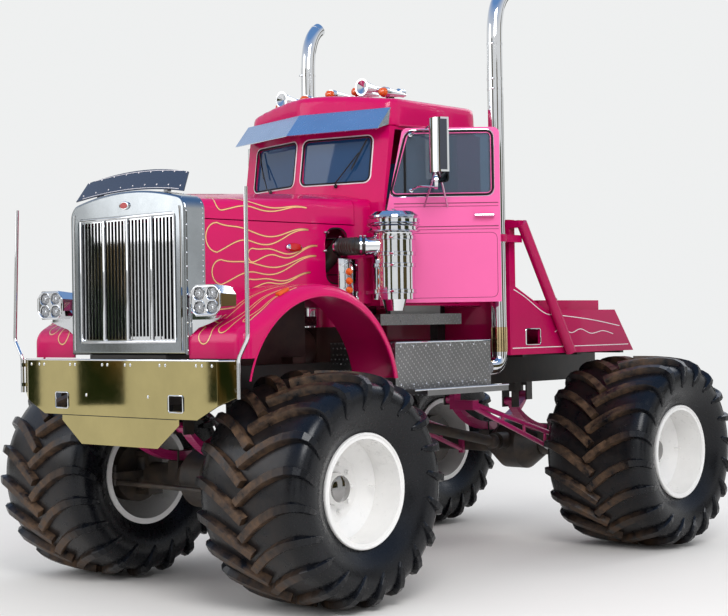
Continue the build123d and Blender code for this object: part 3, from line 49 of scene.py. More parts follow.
# Sides, wheel centres and main directions of the truck
sides = ((1, "left"), (-1, "right"))
axleHeight = 0.822
corners = {"front_left": (1.160, -1.876, 1), "front_right": (-1.160, -1.876, -1),
           "rear_left": (1.320, 1.948, 1), "rear_right": (-1.320, 1.948, -1)}
across = Vector((1, 0, 0))
forward = Vector((0, -1, 0))
backward = Vector((0, 1, 0))
upward = Vector((0, 0, 1))
downward = Vector((0, 0, -1))

# Camera, at the photograph's angle
viewFrom = {"place": (8.649, -9.5375, 1.971), "azimuth": 42.677, "up": 0.558, "roll": 0.9, "lens": 75.49}
cameraData = bpy.data.cameras.new("photoCamera")
cameraData.lens = viewFrom["lens"]
cameraData.sensor_width = 36.0
cameraData.sensor_fit = "HORIZONTAL"
cameraData.clip_end = 200.0
camera = bpy.data.objects.new("photoCamera", cameraData)
camera.matrix_world = (
    Matrix.Translation(viewFrom["place"])
    @ Matrix.Rotation(radians(viewFrom["azimuth"]), 4, "Z")
    @ Matrix.Rotation(radians(90 + viewFrom["up"]), 4, "X")
    @ Matrix.Rotation(radians(-viewFrom["roll"]), 4, "Z")
)
scene.collection.objects.link(camera)
scene.camera = camera


# Shader helpers and the groups that several finishes share
def startGroup(name, inputs, outputs):
    # a socket's kind follows from how many numbers it holds
    kinds = {1: "NodeSocketFloat", 3: "NodeSocketVector", 4: "NodeSocketColor"}
    tree = bpy.data.node_groups.new(name, "ShaderNodeTree")
    for label, value in inputs.items():
        kind = kinds[len(value) if isinstance(value, tuple) else 1]
        tree.interface.new_socket(label, in_out="INPUT", socket_type=kind).default_value = value
    for label, size in outputs.items():
        tree.interface.new_socket(label, in_out="OUTPUT", socket_type=kinds[size])
    return tree, tree.nodes.new("NodeGroupInput").outputs, tree.nodes.new("NodeGroupOutput").inputs


def plug(tree, socket, value):
    if hasattr(value, "is_output"):
        tree.links.new(value, socket)
    else:
        socket.default_value = value


def addNode(tree, kind, **settings):
    node = tree.nodes.new(kind)
    for key, value in settings.items():
        if hasattr(node, key):
            setattr(node, key, value)
        else:
            plug(tree, node.inputs[key], value)
    return node


def mathNode(tree, operation, a, b, clamp=False):
    node = addNode(tree, "ShaderNodeMath", operation=operation, use_clamp=clamp)
    plug(tree, node.inputs[0], a)
    plug(tree, node.inputs[1], b)
    return node.outputs[0]


def steep(tree, a, b, slope):
    # how far a is over b, made steeper and kept from 0 to 1
    return mathNode(tree, "MULTIPLY", mathNode(tree, "SUBTRACT", a, b), slope, True)


def mixColour(tree, factor, a, b, blend="MIX"):
    node = addNode(tree, "ShaderNodeMix", data_type="RGBA", blend_type=blend)
    for slot, value in ((0, factor), (6, a), (7, b)):
        plug(tree, node.inputs[slot], value)
    return node.outputs[2]


def objectPlace(tree):
    return tree.nodes.new("ShaderNodeTexCoord").outputs["Object"]


def noise(tree, scale, detail, roughness=0.5):
    values = {"Vector": objectPlace(tree), "Scale": scale, "Detail": detail, "Roughness": roughness}
    return addNode(tree, "ShaderNodeTexNoise", **values).outputs[0]


def ramp(tree, value, start, stop, lowest=0.0, kind="LINEAR"):
    node = addNode(tree, "ShaderNodeMapRange", interpolation_type=kind)
    for slot, given in enumerate((value, start, stop, lowest, 1.0)):
        plug(tree, node.inputs[slot], given)
    return node.outputs[0]


def roughened(tree, roughness, mask):
    return mathNode(tree, "ADD", roughness, mathNode(tree, "MULTIPLY", mask, 0.5), True)


def useGroup(tree, group, **values):
    node = tree.nodes.new("ShaderNodeGroup")
    node.node_tree = group
    for key, value in values.items():
        plug(tree, node.inputs[key], value)
    return node.outputs


def shaderOf(tree):
    return tree.nodes["Principled BSDF"].inputs


def addRelief(tree, height, strength, distance):
    relief = addNode(tree, "ShaderNodeBump", Strength=strength, Distance=distance, Height=height)
    tree.links.new(relief.outputs[0], shaderOf(tree)["Normal"])


# Tone: a slow drift of colour and a fine drift of roughness over a surface
middleGrey = (0.5, 0.5, 0.5, 1.0)
toneGroup, given, made = startGroup(
    "surfaceTone", {"Colour": middleGrey, "Dark": 0.8, "Scale": 3.0, "Roughness": 0.4, "Drift": 0.1},
    {"Colour": 4, "Roughness": 1})
shade = ramp(toneGroup, noise(toneGroup, given["Scale"], 5.0, 0.6), 0.3, 0.7, given["Dark"])
plug(toneGroup, made["Colour"], mixColour(toneGroup, 1.0, given["Colour"], shade, "MULTIPLY"))
fine = mathNode(toneGroup, "SUBTRACT", noise(toneGroup, 24.0, 6.0, 0.7), 0.5)
drift = mathNode(toneGroup, "MULTIPLY", fine, given["Drift"])
plug(toneGroup, made["Roughness"], mathNode(toneGroup, "ADD", given["Roughness"], drift, True))

# Dust: settles low on the truck and in patches
dustGroup, given, made = startGroup(
    "roadDust", {"Colour": middleGrey, "Roughness": 0.4, "Dust": (0.22, 0.15, 0.09, 1.0), "Top": 1.8, "Amount": 0.5},
    {"Colour": 4, "Roughness": 1})
height = addNode(dustGroup, "ShaderNodeSeparateXYZ", Vector=objectPlace(dustGroup)).outputs[2]
low = steep(dustGroup, given["Top"], height, 0.625)
patchy = steep(dustGroup, noise(dustGroup, 7.0, 8.0, 0.65), 0.32, 2.6)
mask = mathNode(dustGroup, "MULTIPLY", mathNode(dustGroup, "MULTIPLY", low, patchy), given["Amount"], True)
plug(dustGroup, made["Colour"], mixColour(dustGroup, mask, given["Colour"], given["Dust"]))
plug(dustGroup, made["Roughness"], roughened(dustGroup, given["Roughness"], mask))

# Brushed: long fine lines across a sheet
brushGroup, given, made = startGroup("brushedLines", {"Stretch": (2.0, 160.0, 160.0)}, {"Height": 1})
stretch = addNode(brushGroup, "ShaderNodeVectorMath", operation="MULTIPLY")
plug(brushGroup, stretch.inputs[0], objectPlace(brushGroup))
plug(brushGroup, stretch.inputs[1], given["Stretch"])
lines = addNode(brushGroup, "ShaderNodeTexNoise", Vector=stretch.outputs[0], Scale=1.0, Detail=3.0)
plug(brushGroup, made["Height"], lines.outputs[0])


def finish(name, colour, rough=0.4, metal=0.0, dark=0.82, scale=3.0, drift=0.12, dust=0.0, dustTop=1.9, coat=0.0,
           bump=0.0, bumpScale=90.0, brushed=None, specular=0.5, glass=0.0):
    material = bpy.data.materials.new(name)
    material.use_nodes = True
    tree = material.node_tree
    shader = shaderOf(tree)
    source = useGroup(tree, toneGroup, Colour=(*colour, 1.0), Dark=dark, Scale=scale, Roughness=rough, Drift=drift)
    if dust:
        source = useGroup(tree, dustGroup, Colour=source[0], Roughness=source[1], Top=dustTop, Amount=dust)
    tree.links.new(source[0], shader["Base Color"])
    tree.links.new(source[1], shader["Roughness"])
    constants = {"Metallic": metal, "Coat Weight": coat, "Specular IOR Level": specular, "Transmission Weight": glass}
    for label, value in constants.items():
        shader[label].default_value = value
    if brushed:
        addRelief(tree, useGroup(tree, brushGroup, Stretch=brushed)[0], 0.12, 0.002)
    elif bump:
        addRelief(tree, noise(tree, bumpScale, 4.0), bump, 0.002)
    return material


glossy = {"scale": 1.2, "drift": 0.05, "coat": 0.25, "specular": 0.2}
pane = {"dark": 0.85, "scale": 2.0, "drift": 0.03}
paint = finish("magentaPaint", (0.60, 0.001, 0.110), 0.22, dark=0.86, dust=0.08, dustTop=2.3, **glossy)
# the doors take a lighter, pinker copy of the magenta paint: painted light where the doors catch more light
doorLitPaint = finish("doorLitPink", (0.85, 0.135, 0.375), 0.24, dark=0.93, **glossy)
# the deck and brace take a darker copy of the magenta paint: painted shade where the deck lies in shadow
deckShadedPaint = finish("deckShadedPaint", (0.46, 0.001, 0.085), 0.24, dark=0.86, dust=0.1, dustTop=2.3, **glossy)
chassisBlack = finish("chassisBlack", (0.012, 0.011, 0.012), 0.42, dark=0.6, dust=0.35, dustTop=2.0, bump=0.2)
suspensionPaint = finish("suspensionPaint", (0.45, 0.006, 0.13), 0.3, dark=0.8, coat=0.6, dust=0.15)
wheelWhite = finish("wheelWhite", (0.86, 0.85, 0.83), 0.28, dark=0.95, scale=5.0, coat=0.4, dust=0.12, dustTop=1.2)
chrome = finish("polishedChrome", (0.74, 0.75, 0.77), 0.045, 1.0, dark=0.92, scale=6.0, drift=0.06)
shellAlloy = finish("shellAlloy", (0.36, 0.385, 0.405), 0.12, 1.0, scale=5.0, drift=0.08)
# the bumper's chrome is tinted gold: a painted reflection of the golden grass round it
bumperGoldReflectChrome = finish("bumperGoldReflectChrome", (0.50, 0.42, 0.19), 0.035, 1.0, dark=0.86, drift=0.05, bump=0.02, bumpScale=3.0)
# the hub cap's chrome is darkened: painted shade and dark reflection deep in the dish
hubShadedChrome = finish("hubShadedChrome", (0.34, 0.335, 0.33), 0.07, 1.0, dark=0.8, scale=8.0, drift=0.06)
warmChrome = finish("heatedChrome", (0.72, 0.55, 0.30), 0.12, 1.0, dark=0.6, scale=4.0)
aluminium = finish("brushedAluminium", (0.62, 0.71, 0.82), 0.26, 1.0, dark=0.9, brushed=(3.0, 220.0, 220.0))
castIron = finish("castIron", (0.03, 0.029, 0.03), 0.55, 0.3, dark=0.5, dust=0.4, dustTop=2.2, bump=0.5)
engineRed = finish("enginePaint", (0.05, 0.012, 0.014), 0.45, dark=0.5, dust=0.2, dustTop=3.0, bump=0.4)
hoseRubber = finish("hoseRubber", (0.035, 0.030, 0.024), 0.30, dark=0.6, bump=0.3, bumpScale=40.0)
navyShield = finish("navyShield", (0.008, 0.012, 0.03), 0.16, dark=0.8, coat=1.0)
interior = finish("grainedPlastic", (0.03, 0.027, 0.03), 0.6, bump=0.4, bumpScale=300.0)
leather = finish("seatLeather", (0.07, 0.03, 0.03), 0.5, bump=0.5, bumpScale=160.0)
goldStripe = finish("goldStripe", (0.93, 0.52, 0.20), 0.3, dark=0.8, scale=2.0, coat=0.8)
# dark magenta lines on the doors, and the painted shadow beside each gold flame line
darkStripeAndShadow = finish("darkStripeAndShadow", (0.16, 0.002, 0.05), 0.3, coat=0.8)
whiteStripe = finish("whiteStripe", (0.88, 0.82, 0.84), 0.3, coat=0.8)
# black rubber for seals, and for the painted shade line in the bumper's fold
rubberAndShadeBlack = finish("sealRubberAndShade", (0.006, 0.006, 0.006), 0.7, specular=0.3)
badgeRed = finish("badgeEnamel", (0.40, 0.004, 0.006), 0.22, coat=0.2)
mirrorFace = finish("mirrorFace", (0.16, 0.18, 0.20), 0.03, 1.0, dark=0.9)
doorGlass = finish("doorGlass", (0.10, 0.16, 0.24), 0.02, glass=0.62, **pane)
# the windshield glass is deep blue: a painted reflection of the blue sky
windowGlass = finish("skyReflectionGlass", (0.015, 0.075, 0.20), 0.02, glass=0.35, **pane)
lampGlass = finish("lampGlass", (0.92, 0.93, 0.95), 0.05, glass=0.75, **pane)
amberGlass = finish("amberLens", (0.92, 0.14, 0.012), 0.12, glass=0.25, **pane)
redGlass = finish("redLens", (0.65, 0.012, 0.01), 0.12, glass=0.2, **pane)

# Diamond plate: crossed raised bars, with painted shade darkening the flat plate between them
treadPlate = finish("treadPlate", (0.62, 0.62, 0.62), 0.3, 1.0, dark=0.8, scale=4.0, dust=0.2, dustTop=2.6)
tree = treadPlate.node_tree
turned = addNode(tree, "ShaderNodeMapping", Vector=objectPlace(tree), Rotation=(radians(45), radians(45), 0.0))
pattern = {"Scale": 34.0, "Randomness": 0.0, "distance": "MANHATTAN"}
cells = addNode(tree, "ShaderNodeTexVoronoi", Vector=turned.outputs[0], **pattern)
raised = steep(tree, 0.42, cells.outputs["Distance"], 9.0)
addRelief(tree, raised, 0.9, 0.006)
source = shaderOf(tree)["Base Color"].links[0].from_socket
# the flat plate between the bars is darkened to half: painted shade in the recesses
low = mixColour(tree, 1.0, source, (0.50, 0.50, 0.51, 1.0), "MULTIPLY")
tree.links.new(mixColour(tree, raised, low, source), shaderOf(tree)["Base Color"])

# Core fins behind the grille, and the separate leaves of the springs' packs
coreFins = finish("coreFins", (0.035, 0.034, 0.03), 0.5, 0.6)
for material, scale, strength in ((coreFins, 60.0, 0.6), (suspensionPaint, 22.0, 0.35)):
    tree = material.node_tree
    waves = addNode(tree, "ShaderNodeTexWave", Vector=objectPlace(tree), Scale=scale, bands_direction="Z")
    addRelief(tree, waves.outputs[1], strength, 0.004)

# Tyre rubber: clean dark flanks, dried mud where the piece's own "mud" attribute says
tyreRubber = finish("tyreRubber", (0.0045, 0.0052, 0.0075), 0.28, dark=0.6, scale=6.0, drift=0.2, specular=0.30)
tree = tyreRubber.node_tree
shader = shaderOf(tree)
clean = shader["Base Color"].links[0].from_node.outputs
mudHere = addNode(tree, "ShaderNodeAttribute", attribute_name="mud").outputs["Fac"]
patch = noise(tree, 11.0, 8.0, 0.7)
mask = mathNode(tree, "MULTIPLY", mudHere, steep(tree, patch, 0.36, 3.2), True)
tree.links.new(mixColour(tree, mask, clean[0], (0.125, 0.072, 0.040, 1.0)), shader["Base Color"])
tree.links.new(roughened(tree, clean[1], mask), shader["Roughness"])
addRelief(tree, patch, 0.25, 0.004)
print("finishes ready")

# Finishes on the solids, and the solids that take each finish
dressing = {
    paint: "cab_body cab_roof hood_sides hood_left hood_right fenders",
    doorLitPaint: "door_left door_right",
    deckShadedPaint: "deck brace_frame",
    chassisBlack: "frame crossmembers spring_hangers deck_supports axle_front axle_rear tie_rod",
    suspensionPaint: "leaf_springs traction_bars",
    wheelWhite: "wheel_front_left wheel_front_right wheel_rear_left wheel_rear_right",
    chrome: "air_cleaner air_horns grille guide_poles headlamp_pods mirror_left mirror_right roof_lamps stacks",
    shellAlloy: "radiator_shell",
    bumperGoldReflectChrome: "bumper",
    aluminium: "sun_visor",
    treadPlate: "steps",
    castIron: "knuckle_left knuckle_right transfer_case",
    engineRed: "engine",
    hoseRubber: "intake_pipe",
    navyShield: "bug_deflector",
    interior: "dashboard",
    leather: "seats",
    coreFins: "radiator_core",
    windowGlass: "cab_glass",
    doorGlass: "door_glass_left door_glass_right",
    lampGlass: "headlamp_lenses",
    amberGlass: "amber_lenses",
    tyreRubber: "tyre_front_left tyre_front_right tyre_rear_left tyre_rear_right",
}
for material, names in dressing.items():
    for name in names.split():
        for holder in nodes[name].material_slots:
            holder.material = material


# Building and finishing off a piece
def emptyForms(count):
    return [bmesh.new() for _ in range(count)]


def meshOf(bm, name):
    bmesh.ops.remove_doubles(bm, verts=bm.verts, dist=1e-5)
    bmesh.ops.recalc_face_normals(bm, faces=bm.faces)
    mesh = bpy.data.meshes.new(name)
    bm.to_mesh(mesh)
    bm.free()
    return mesh


def addPiece(name, form, material, body="truck", replaced=(), sharp=38):
    mesh = meshOf(form, name) if isinstance(form, bmesh.types.BMesh) else form
    piece = bpy.data.objects.new(name, mesh)
    scene.collection.objects.link(piece)
    mesh.materials.append(material)
    for face in mesh.polygons:
        face.use_smooth = True
    mesh.set_sharp_from_angle(angle=radians(sharp))
    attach(piece, body)
    if replaced:
        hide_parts(*replaced)
    return piece


def flipped(mesh):
    other = mesh.copy()
    other.transform(Matrix.Diagonal((-1, 1, 1, 1)))
    other.flip_normals()
    return other


def evenly(low, high, count):
    return [low + (high - low) * i / (count - 1) for i in range(count)]


def circle(count):
    return [(cos(2 * pi * k / count), sin(2 * pi * k / count)) for k in range(count)]


def spinProfile(bm, points, axis, centre, steps=24, closed=False):
    # turns an outline of (along, out) pairs all the way round
    axis = Vector(axis).normalized()
    side = axis.orthogonal().normalized()
    verts = [bm.verts.new(Vector(centre) + axis * along + side * out) for along, out in points]
    pairs = list(zip(verts, verts[1:])) + ([(verts[-1], verts[0])] if closed else [])
    edges = [bm.edges.new(pair) for pair in pairs]
    bmesh.ops.spin(bm, geom=verts + edges, cent=centre, axis=axis, dvec=(0, 0, 0), angle=2 * pi, steps=steps,
                   use_merge=True)


def addLens(bm, profile, axis, steps, stretch, spot):
    # a spun form stretched along the three axes and set in its place
    made = bmesh.new()
    spinProfile(made, profile, axis, (0, 0, 0), steps)
    bmesh.ops.scale(made, verts=made.verts, vec=stretch)
    bmesh.ops.translate(made, verts=made.verts, vec=spot)
    helper = bpy.data.meshes.new("helper")
    made.to_mesh(helper)
    made.free()
    bm.from_mesh(helper)
    bpy.data.meshes.remove(helper)


def addRing(bm, centre, axis, radius, thick, steps=32, facets=8):
    spinProfile(bm, [(thick * c, radius + thick * s) for c, s in circle(facets)], axis, centre, steps, closed=True)


def addBand(bm, centre, axis, inner, outer, half, steps):
    spinProfile(bm, [(-half, inner), (-half, outer), (half, outer), (half, inner)], axis, centre, steps)


def addDome(bm, centre, axis, radius, height, steps=10):
    profile = [(-0.002, radius), (height * 0.35, radius * 0.96), (height * 0.8, radius * 0.6), (height, 0.0)]
    spinProfile(bm, [(-0.002, 0.0)] + profile, axis, centre, steps)


def runAt(points, i, closed):
    # the direction of a line at one of its points
    before = points[i - 1] if closed or i else points[i]
    after = points[(i + 1) % len(points)] if closed or i < len(points) - 1 else points[i]
    return (after - before).normalized()


def skinRings(bm, rings, closed):
    for first, second in list(zip(rings, rings[1:])) + ([(rings[-1], rings[0])] if closed else []):
        for k in range(len(first)):
            m = (k + 1) % len(first)
            bm.faces.new((first[k], first[m], second[m], second[k]))
    if not closed:
        bm.faces.new(rings[0])
        bm.faces.new(rings[-1])


def addTube(bm, points, radius, facets=8, closed=False):
    points = [Vector(p) for p in points]
    rings = []
    side = None
    for i, point in enumerate(points):
        run = runAt(points, i, closed)
        side = (run.orthogonal() if side is None else side - run * side.dot(run)).normalized()
        up = run.cross(side)
        rings.append([bm.verts.new(point + (side * c + up * s) * radius) for c, s in circle(facets)])
    skinRings(bm, rings, closed)


def addRibbon(bm, spots, width, lift=0.0012, closed=False):
    # a flat painted line over (point, normal) pairs
    points = [point for point, _ in spots]
    rings = []
    for i, (point, normal) in enumerate(spots):
        side = normal.cross(runAt(points, i, closed)).normalized() * (width / 2)
        rings.append([bm.verts.new(point + side * a + normal * b)
                      for a, b in ((-1, -0.002), (-1, lift), (1, lift), (1, -0.002))])
    skinRings(bm, rings, closed)


def addSlab(bm, centre, size, edge=0.004, turn=None):
    place = Matrix.Translation(centre) @ (turn or Matrix.Identity(4)) @ Matrix.Diagonal((*size, 1))
    verts = bmesh.ops.create_cube(bm, size=1.0, matrix=place)["verts"]
    edges = list({e for v in verts for e in v.link_edges})
    bmesh.ops.bevel(bm, geom=edges, offset=edge, offset_type="OFFSET", segments=2, profile=0.5, affect="EDGES",
                    material=-1)


def roundedLoop(centre, along, up, width, height, corner, steps=5):
    centre, along, up = Vector(centre), Vector(along).normalized(), Vector(up).normalized()
    points = []
    for quarter, (a, b) in enumerate(((1, 1), (-1, 1), (-1, -1), (1, -1))):
        for k in range(steps + 1):
            turn = pi / 2 * (quarter + k / steps)
            u = a * (width / 2 - corner) + corner * cos(turn)
            v = b * (height / 2 - corner) + corner * sin(turn)
            points.append(centre + along * u + up * v)
    return points


def curveThrough(a, corner, b, steps):
    a, corner, b = Vector(a), Vector(corner), Vector(b)
    return [a * (1 - t) ** 2 + corner * 2 * t * (1 - t) + b * t**2 for t in evenly(0, 1, steps + 1)]


def softCorners(points, radius, steps=5):
    # a closed outline with its corners rounded
    points = [Vector(p) for p in points]
    made = []
    for i, corner in enumerate(points):
        a = corner + (points[i - 1] - corner).normalized() * radius
        b = corner + (points[(i + 1) % len(points)] - corner).normalized() * radius
        made += curveThrough(a, corner, b, steps)
    return made


def smoothRun(points, steps=6):
    # Catmull-Rom curve through the points
    points = [Vector(p) for p in points]
    last = len(points) - 1
    made = []
    for i in range(last):
        a, b, c, d = [points[min(max(i + k, 0), last)] for k in (-1, 0, 1, 2)]
        for t in [k / steps for k in range(steps)]:
            made.append(0.5 * (2 * b + (c - a) * t + (2 * a - 5 * b + 4 * c - d) * t**2
                               + (3 * b - a - 3 * c + d) * t**3))
    return made + [points[-1]]


# Reading a solid's surface, so that trim sits on it; casts start beside, ahead of, behind or above the truck
beside, ahead, behind, above = 1.5, -4.0, 4.0, 4.0


def surfaceOf(name):
    item = nodes[name]
    points = [item.matrix_world @ v.co for v in item.data.vertices]
    return BVHTree.FromPolygons(points, [p.vertices[:] for p in item.data.polygons])


def castOnto(tree, point, towards):
    spot, normal, _, _ = tree.ray_cast(Vector(point), Vector(towards))
    if spot is None:
        return None
    return spot, (normal if normal.dot(Vector(towards)) < 0 else -normal)


def hitsOn(tree, points, towards):
    hits = [castOnto(tree, point, towards) for point in points]
    return [hit for hit in hits if hit]


def addStuds(bm, tree, points, towards, radius, height, steps=8, shift=0.0):
    for spot, normal in hitsOn(tree, points, towards):
        addDome(bm, spot + backward * shift, normal, radius, height, steps)


def paintLine(bm, tree, points, towards, width, lift=0.0012, closed=False):
    spots = hitsOn(tree, points, towards)
    if len(spots) > 2:
        addRibbon(bm, spots, width, lift, closed and len(spots) == len(points))


def solidCopy(name):
    bm = bmesh.new()
    bm.from_mesh(nodes[name].data)
    bm.transform(nodes[name].matrix_world)
    bmesh.ops.remove_doubles(bm, verts=bm.verts, dist=1e-5)
    bmesh.ops.dissolve_limit(bm, angle_limit=radians(0.5), verts=bm.verts, edges=bm.edges)
    return bm


def modifiedMesh(holder):
    return bpy.data.meshes.new_from_object(holder.evaluated_get(bpy.context.evaluated_depsgraph_get()))


def evenSkin(bm, name, voxel):
    # the form again with an even skin, on a helper object
    helper = bpy.data.objects.new(name, meshOf(bm, name))
    scene.collection.objects.link(helper)
    remesh = helper.modifiers.new("remesh", "REMESH")
    remesh.mode = "VOXEL"
    remesh.voxel_size = voxel
    skin = modifiedMesh(helper)
    helper.modifiers.clear()
    helper.data = skin
    return helper


# Tyres: round carcass with long curved lugs that wrap onto the flanks
tyreShape = {
    "lugs": 20, "steps": 120, "runRadius": 0.80, "phase": -1.2, "shoulder": (0.42, 0.09),
    # most mud, then the radius from which it grows and over how much
    "treadMud": (0.12, 0.74, 0.03),
    "carcass": [(0.386, 0.4005), (0.3995, 0.4015), (0.425, 0.445), (0.464, 0.500), (0.488, 0.560), (0.497, 0.620),
                (0.492, 0.672), (0.470, 0.712), (0.425, 0.742), (0.350, 0.757), (0.240, 0.765), (0.120, 0.768),
                (0.0, 0.769)],
    "bead": [(0.386, 0.4005), (0.386, 0.3735), (-0.386, 0.3735), (-0.386, 0.4005)],
    # across, tip radius, root radius, degrees round, half width, mud
    "lug": [(-0.024, 0.822, 0.750, -1.1, 0.030, 1.0), (0.050, 0.822, 0.750, 3.0, 0.031, 1.0),
            (0.140, 0.821, 0.750, 7.4, 0.031, 1.0), (0.230, 0.819, 0.745, 11.2, 0.031, 0.8),
            (0.320, 0.812, 0.738, 14.2, 0.031, 0.42), (0.400, 0.798, 0.720, 16.0, 0.031, 0.14),
            (0.462, 0.772, 0.700, 16.6, 0.031, 0.0), (0.500, 0.735, 0.672, 16.4, 0.030, 0.0),
            (0.516, 0.690, 0.640, 15.4, 0.028, 0.0), (0.518, 0.645, 0.606, 13.8, 0.026, 0.0),
            (0.509, 0.602, 0.575, 11.8, 0.022, 0.0), (0.496, 0.572, 0.556, 10.0, 0.014, 0.0)],
    # share of the half width, share of the depth
    "section": [(-1.35, 1.0), (-1.06, 0.16), (-0.86, 0.0), (0.86, 0.0), (1.06, 0.16), (1.35, 1.0)],
}


def within(value):
    return min(max(value, 0.0), 1.0)


def lugSection(station, previous, following, flank):
    # corners across the lug's run; its depth turns inwards over the shoulder
    along, tip, root, turn, half, _ = station
    start, width = tyreShape["shoulder"]
    a, b = [Vector((s[0], tyreShape["runRadius"] * radians(s[3]), s[1])) for s in (previous, following)]
    run = (b - a).normalized()
    over = within((along - start) / width)
    inward = Vector((-over, 0, -1 + 0.95 * over)).normalized()
    wide = run.cross(inward).normalized()
    ring = []
    for share, sink in tyreShape["section"]:
        spot = Vector((along, 0, tip)) + wide * (half * share) + inward * ((tip - root) * sink)
        angle = radians(turn + tyreShape["phase"]) + spot.y / tyreShape["runRadius"]
        ring.append(Vector((flank * spot.x, -spot.z * cos(angle), spot.z * sin(angle))))
    return ring


def buildTyre():
    bm = bmesh.new()
    mud = bm.verts.layers.float.new("mud")
    half = tyreShape["carcass"]
    outline = [(-x, r) for x, r in half] + [(x, r) for x, r in reversed(half[:-1])]
    spinProfile(bm, outline + tyreShape["bead"], across, (0, 0, 0), tyreShape["steps"])
    most, start, width = tyreShape["treadMud"]
    for vert in bm.verts:
        vert[mud] = most * within((vert.co.yz.length - start) / width)
    stations = tyreShape["lug"]
    count = tyreShape["lugs"]
    for flank in (1, -1):
        ring = lugSection(stations[0], stations[0], stations[1], flank)
        face = bm.faces.new([bm.verts.new(co) for co in ring])
        lugVerts = list(face.verts)
        for vert in lugVerts:
            vert[mud] = 1.0
        for i, station in enumerate(stations[1:], 1):
            grown = bmesh.ops.extrude_face_region(bm, geom=[face], use_keep_orig=(i == 1))["geom"]
            face = [g for g in grown if isinstance(g, bmesh.types.BMFace)][0]
            following = stations[min(i + 1, len(stations) - 1)]
            nextRing = lugSection(station, stations[i - 1], following, flank)
            for vert in face.verts:
                corner = min(range(6), key=lambda k: (vert.co - ring[k]).length)
                vert.co = nextRing[corner]
                vert[mud] = station[5]
            ring = nextRing
            lugVerts += list(face.verts)
        if flank < 0:
            bmesh.ops.rotate(bm, verts=lugVerts, cent=(0, 0, 0), matrix=Matrix.Rotation(pi / count, 3, "X"))
        faces = list({f for v in lugVerts for f in v.link_faces})
        edges = list({e for f in faces for e in f.edges})
        bmesh.ops.spin(bm, geom=lugVerts + edges + faces, cent=(0, 0, 0), axis=(1, 0, 0), dvec=(0, 0, 0),
                       angle=2 * pi * (count - 1) / count, steps=count - 1, use_duplicate=True)
    return meshOf(bm, "tyreBase")


tyreBase = buildTyre()
for corner, (x, y, hand) in corners.items():
    mesh = tyreBase.copy() if hand > 0 else flipped(tyreBase)
    mesh.transform(Matrix.Translation((x, y, axleHeight)))
    addPiece("tyre_" + corner + "_treads", mesh, tyreRubber, body="wheel_" + corner, replaced=("tyre_" + corner,),
             sharp=48)
print("tyres ready")

# Wheels: bright hub cap deep in the dish, ring of nuts, rolled rim edge and a valve
wheelTrim = {
    "cap": [(0.103, 0.115), (0.118, 0.115), (0.120, 0.100), (0.168, 0.097), (0.184, 0.090), (0.194, 0.060),
            (0.198, 0.0)],
    "nut": [(-0.002, 0.0), (-0.002, 0.021), (0.006, 0.021), (0.006, 0.015), (0.026, 0.015), (0.030, 0.008),
            (0.030, 0.0)],
    "nuts": 10, "nutX": 0.099, "nutRing": 0.175, "rimX": 0.414, "rimRadius": 0.390, "valve": (0.17, 0.30),
}
for corner, (x, y, hand) in corners.items():
    body = "wheel_" + corner
    axis = across * hand
    centre = Vector((x, y, axleHeight))
    bm = bmesh.new()
    # the cap's chrome is darkened: painted shade deep in the dish
    spinProfile(bm, wheelTrim["cap"], axis, centre, 40)
    addPiece("hub_" + corner, bm, hubShadedChrome, body=body)
    bm = bmesh.new()
    for c, s in circle(wheelTrim["nuts"]):
        spot = centre + axis * wheelTrim["nutX"] + Vector((0, c, s)) * wheelTrim["nutRing"]
        spinProfile(bm, wheelTrim["nut"], axis, spot, 6)
    addRing(bm, centre + axis * wheelTrim["rimX"], axis, wheelTrim["rimRadius"], 0.009, 64, 8)
    out, rear = wheelTrim["valve"]
    valve = centre + backward * rear + axis * out
    addTube(bm, [valve, valve + axis * 0.03 + forward * 0.01, valve + axis * 0.06], 0.006)
    addPiece("wheel_trim_" + corner, bm, wheelWhite, body=body)
print("wheels ready")

# Flames: own layout of licks, each a rounded head with a long waving double tail
flameShape = {
    # each gold line lies on a wider dark line: a painted shadow beside the stripe
    "split": 2.722, "lines": (("edge", 0.0135, 0.0008), ("gold", 0.0085, 0.0014)),
    # head y, head z, head radius, length, lean, wave
    "hood": [(-2.335, 2.590, 0.105, 0.86, 0.050, 0.034), (-2.300, 2.345, 0.088, 0.90, 0.105, 0.032),
             (-2.010, 2.470, 0.050, 0.62, 0.060, 0.026), (-2.040, 2.262, 0.036, 0.58, 0.075, 0.018),
             (-2.290, 2.835, 0.052, 0.80, -0.020, 0.020)],
    # head x, head turn round the arch, head radius, length, lean, wave
    "fender": [(0.800, 58.0, 0.060, 0.75, 0.090, 0.020), (0.960, 54.0, 0.050, 0.66, 0.070, 0.018),
               (1.090, 48.0, 0.032, 0.48, 0.020, 0.012)],
    "arch": (-1.85, 1.423), "archRadius": 0.83,
}
hoodSurface = surfaceOf("hood_sides")
fenderSurface = surfaceOf("fenders")


def lickOutline(radius, length, lean, wave, steps=34):
    # (along, up) from the upper tail tip, round the head, to the lower tail tip
    def half(t):
        neck = radius * (0.16 + 0.20 * sin(pi * min(t * 1.25, 1.0)))
        head = radius * max(1 - t * 2.9, 0.0) ** 1.25
        return (head + neck * min(t * 3.0, 1.0)) * (1 - t**3)

    upper, lower = [], []
    for i in range(steps + 1):
        t = 1 - i / steps
        middle = lean * t**1.3 + wave * sin(2 * pi * t * 1.35) * min(t * 3.0, 1.0)
        upper.append((length * t, middle + half(t)))
        lower.insert(0, (length * t, middle - half(t)))
    head = [(-radius * sin(pi * k / 10) * 0.95, radius * cos(pi * k / 10)) for k in range(1, 10)]
    return upper + head + lower


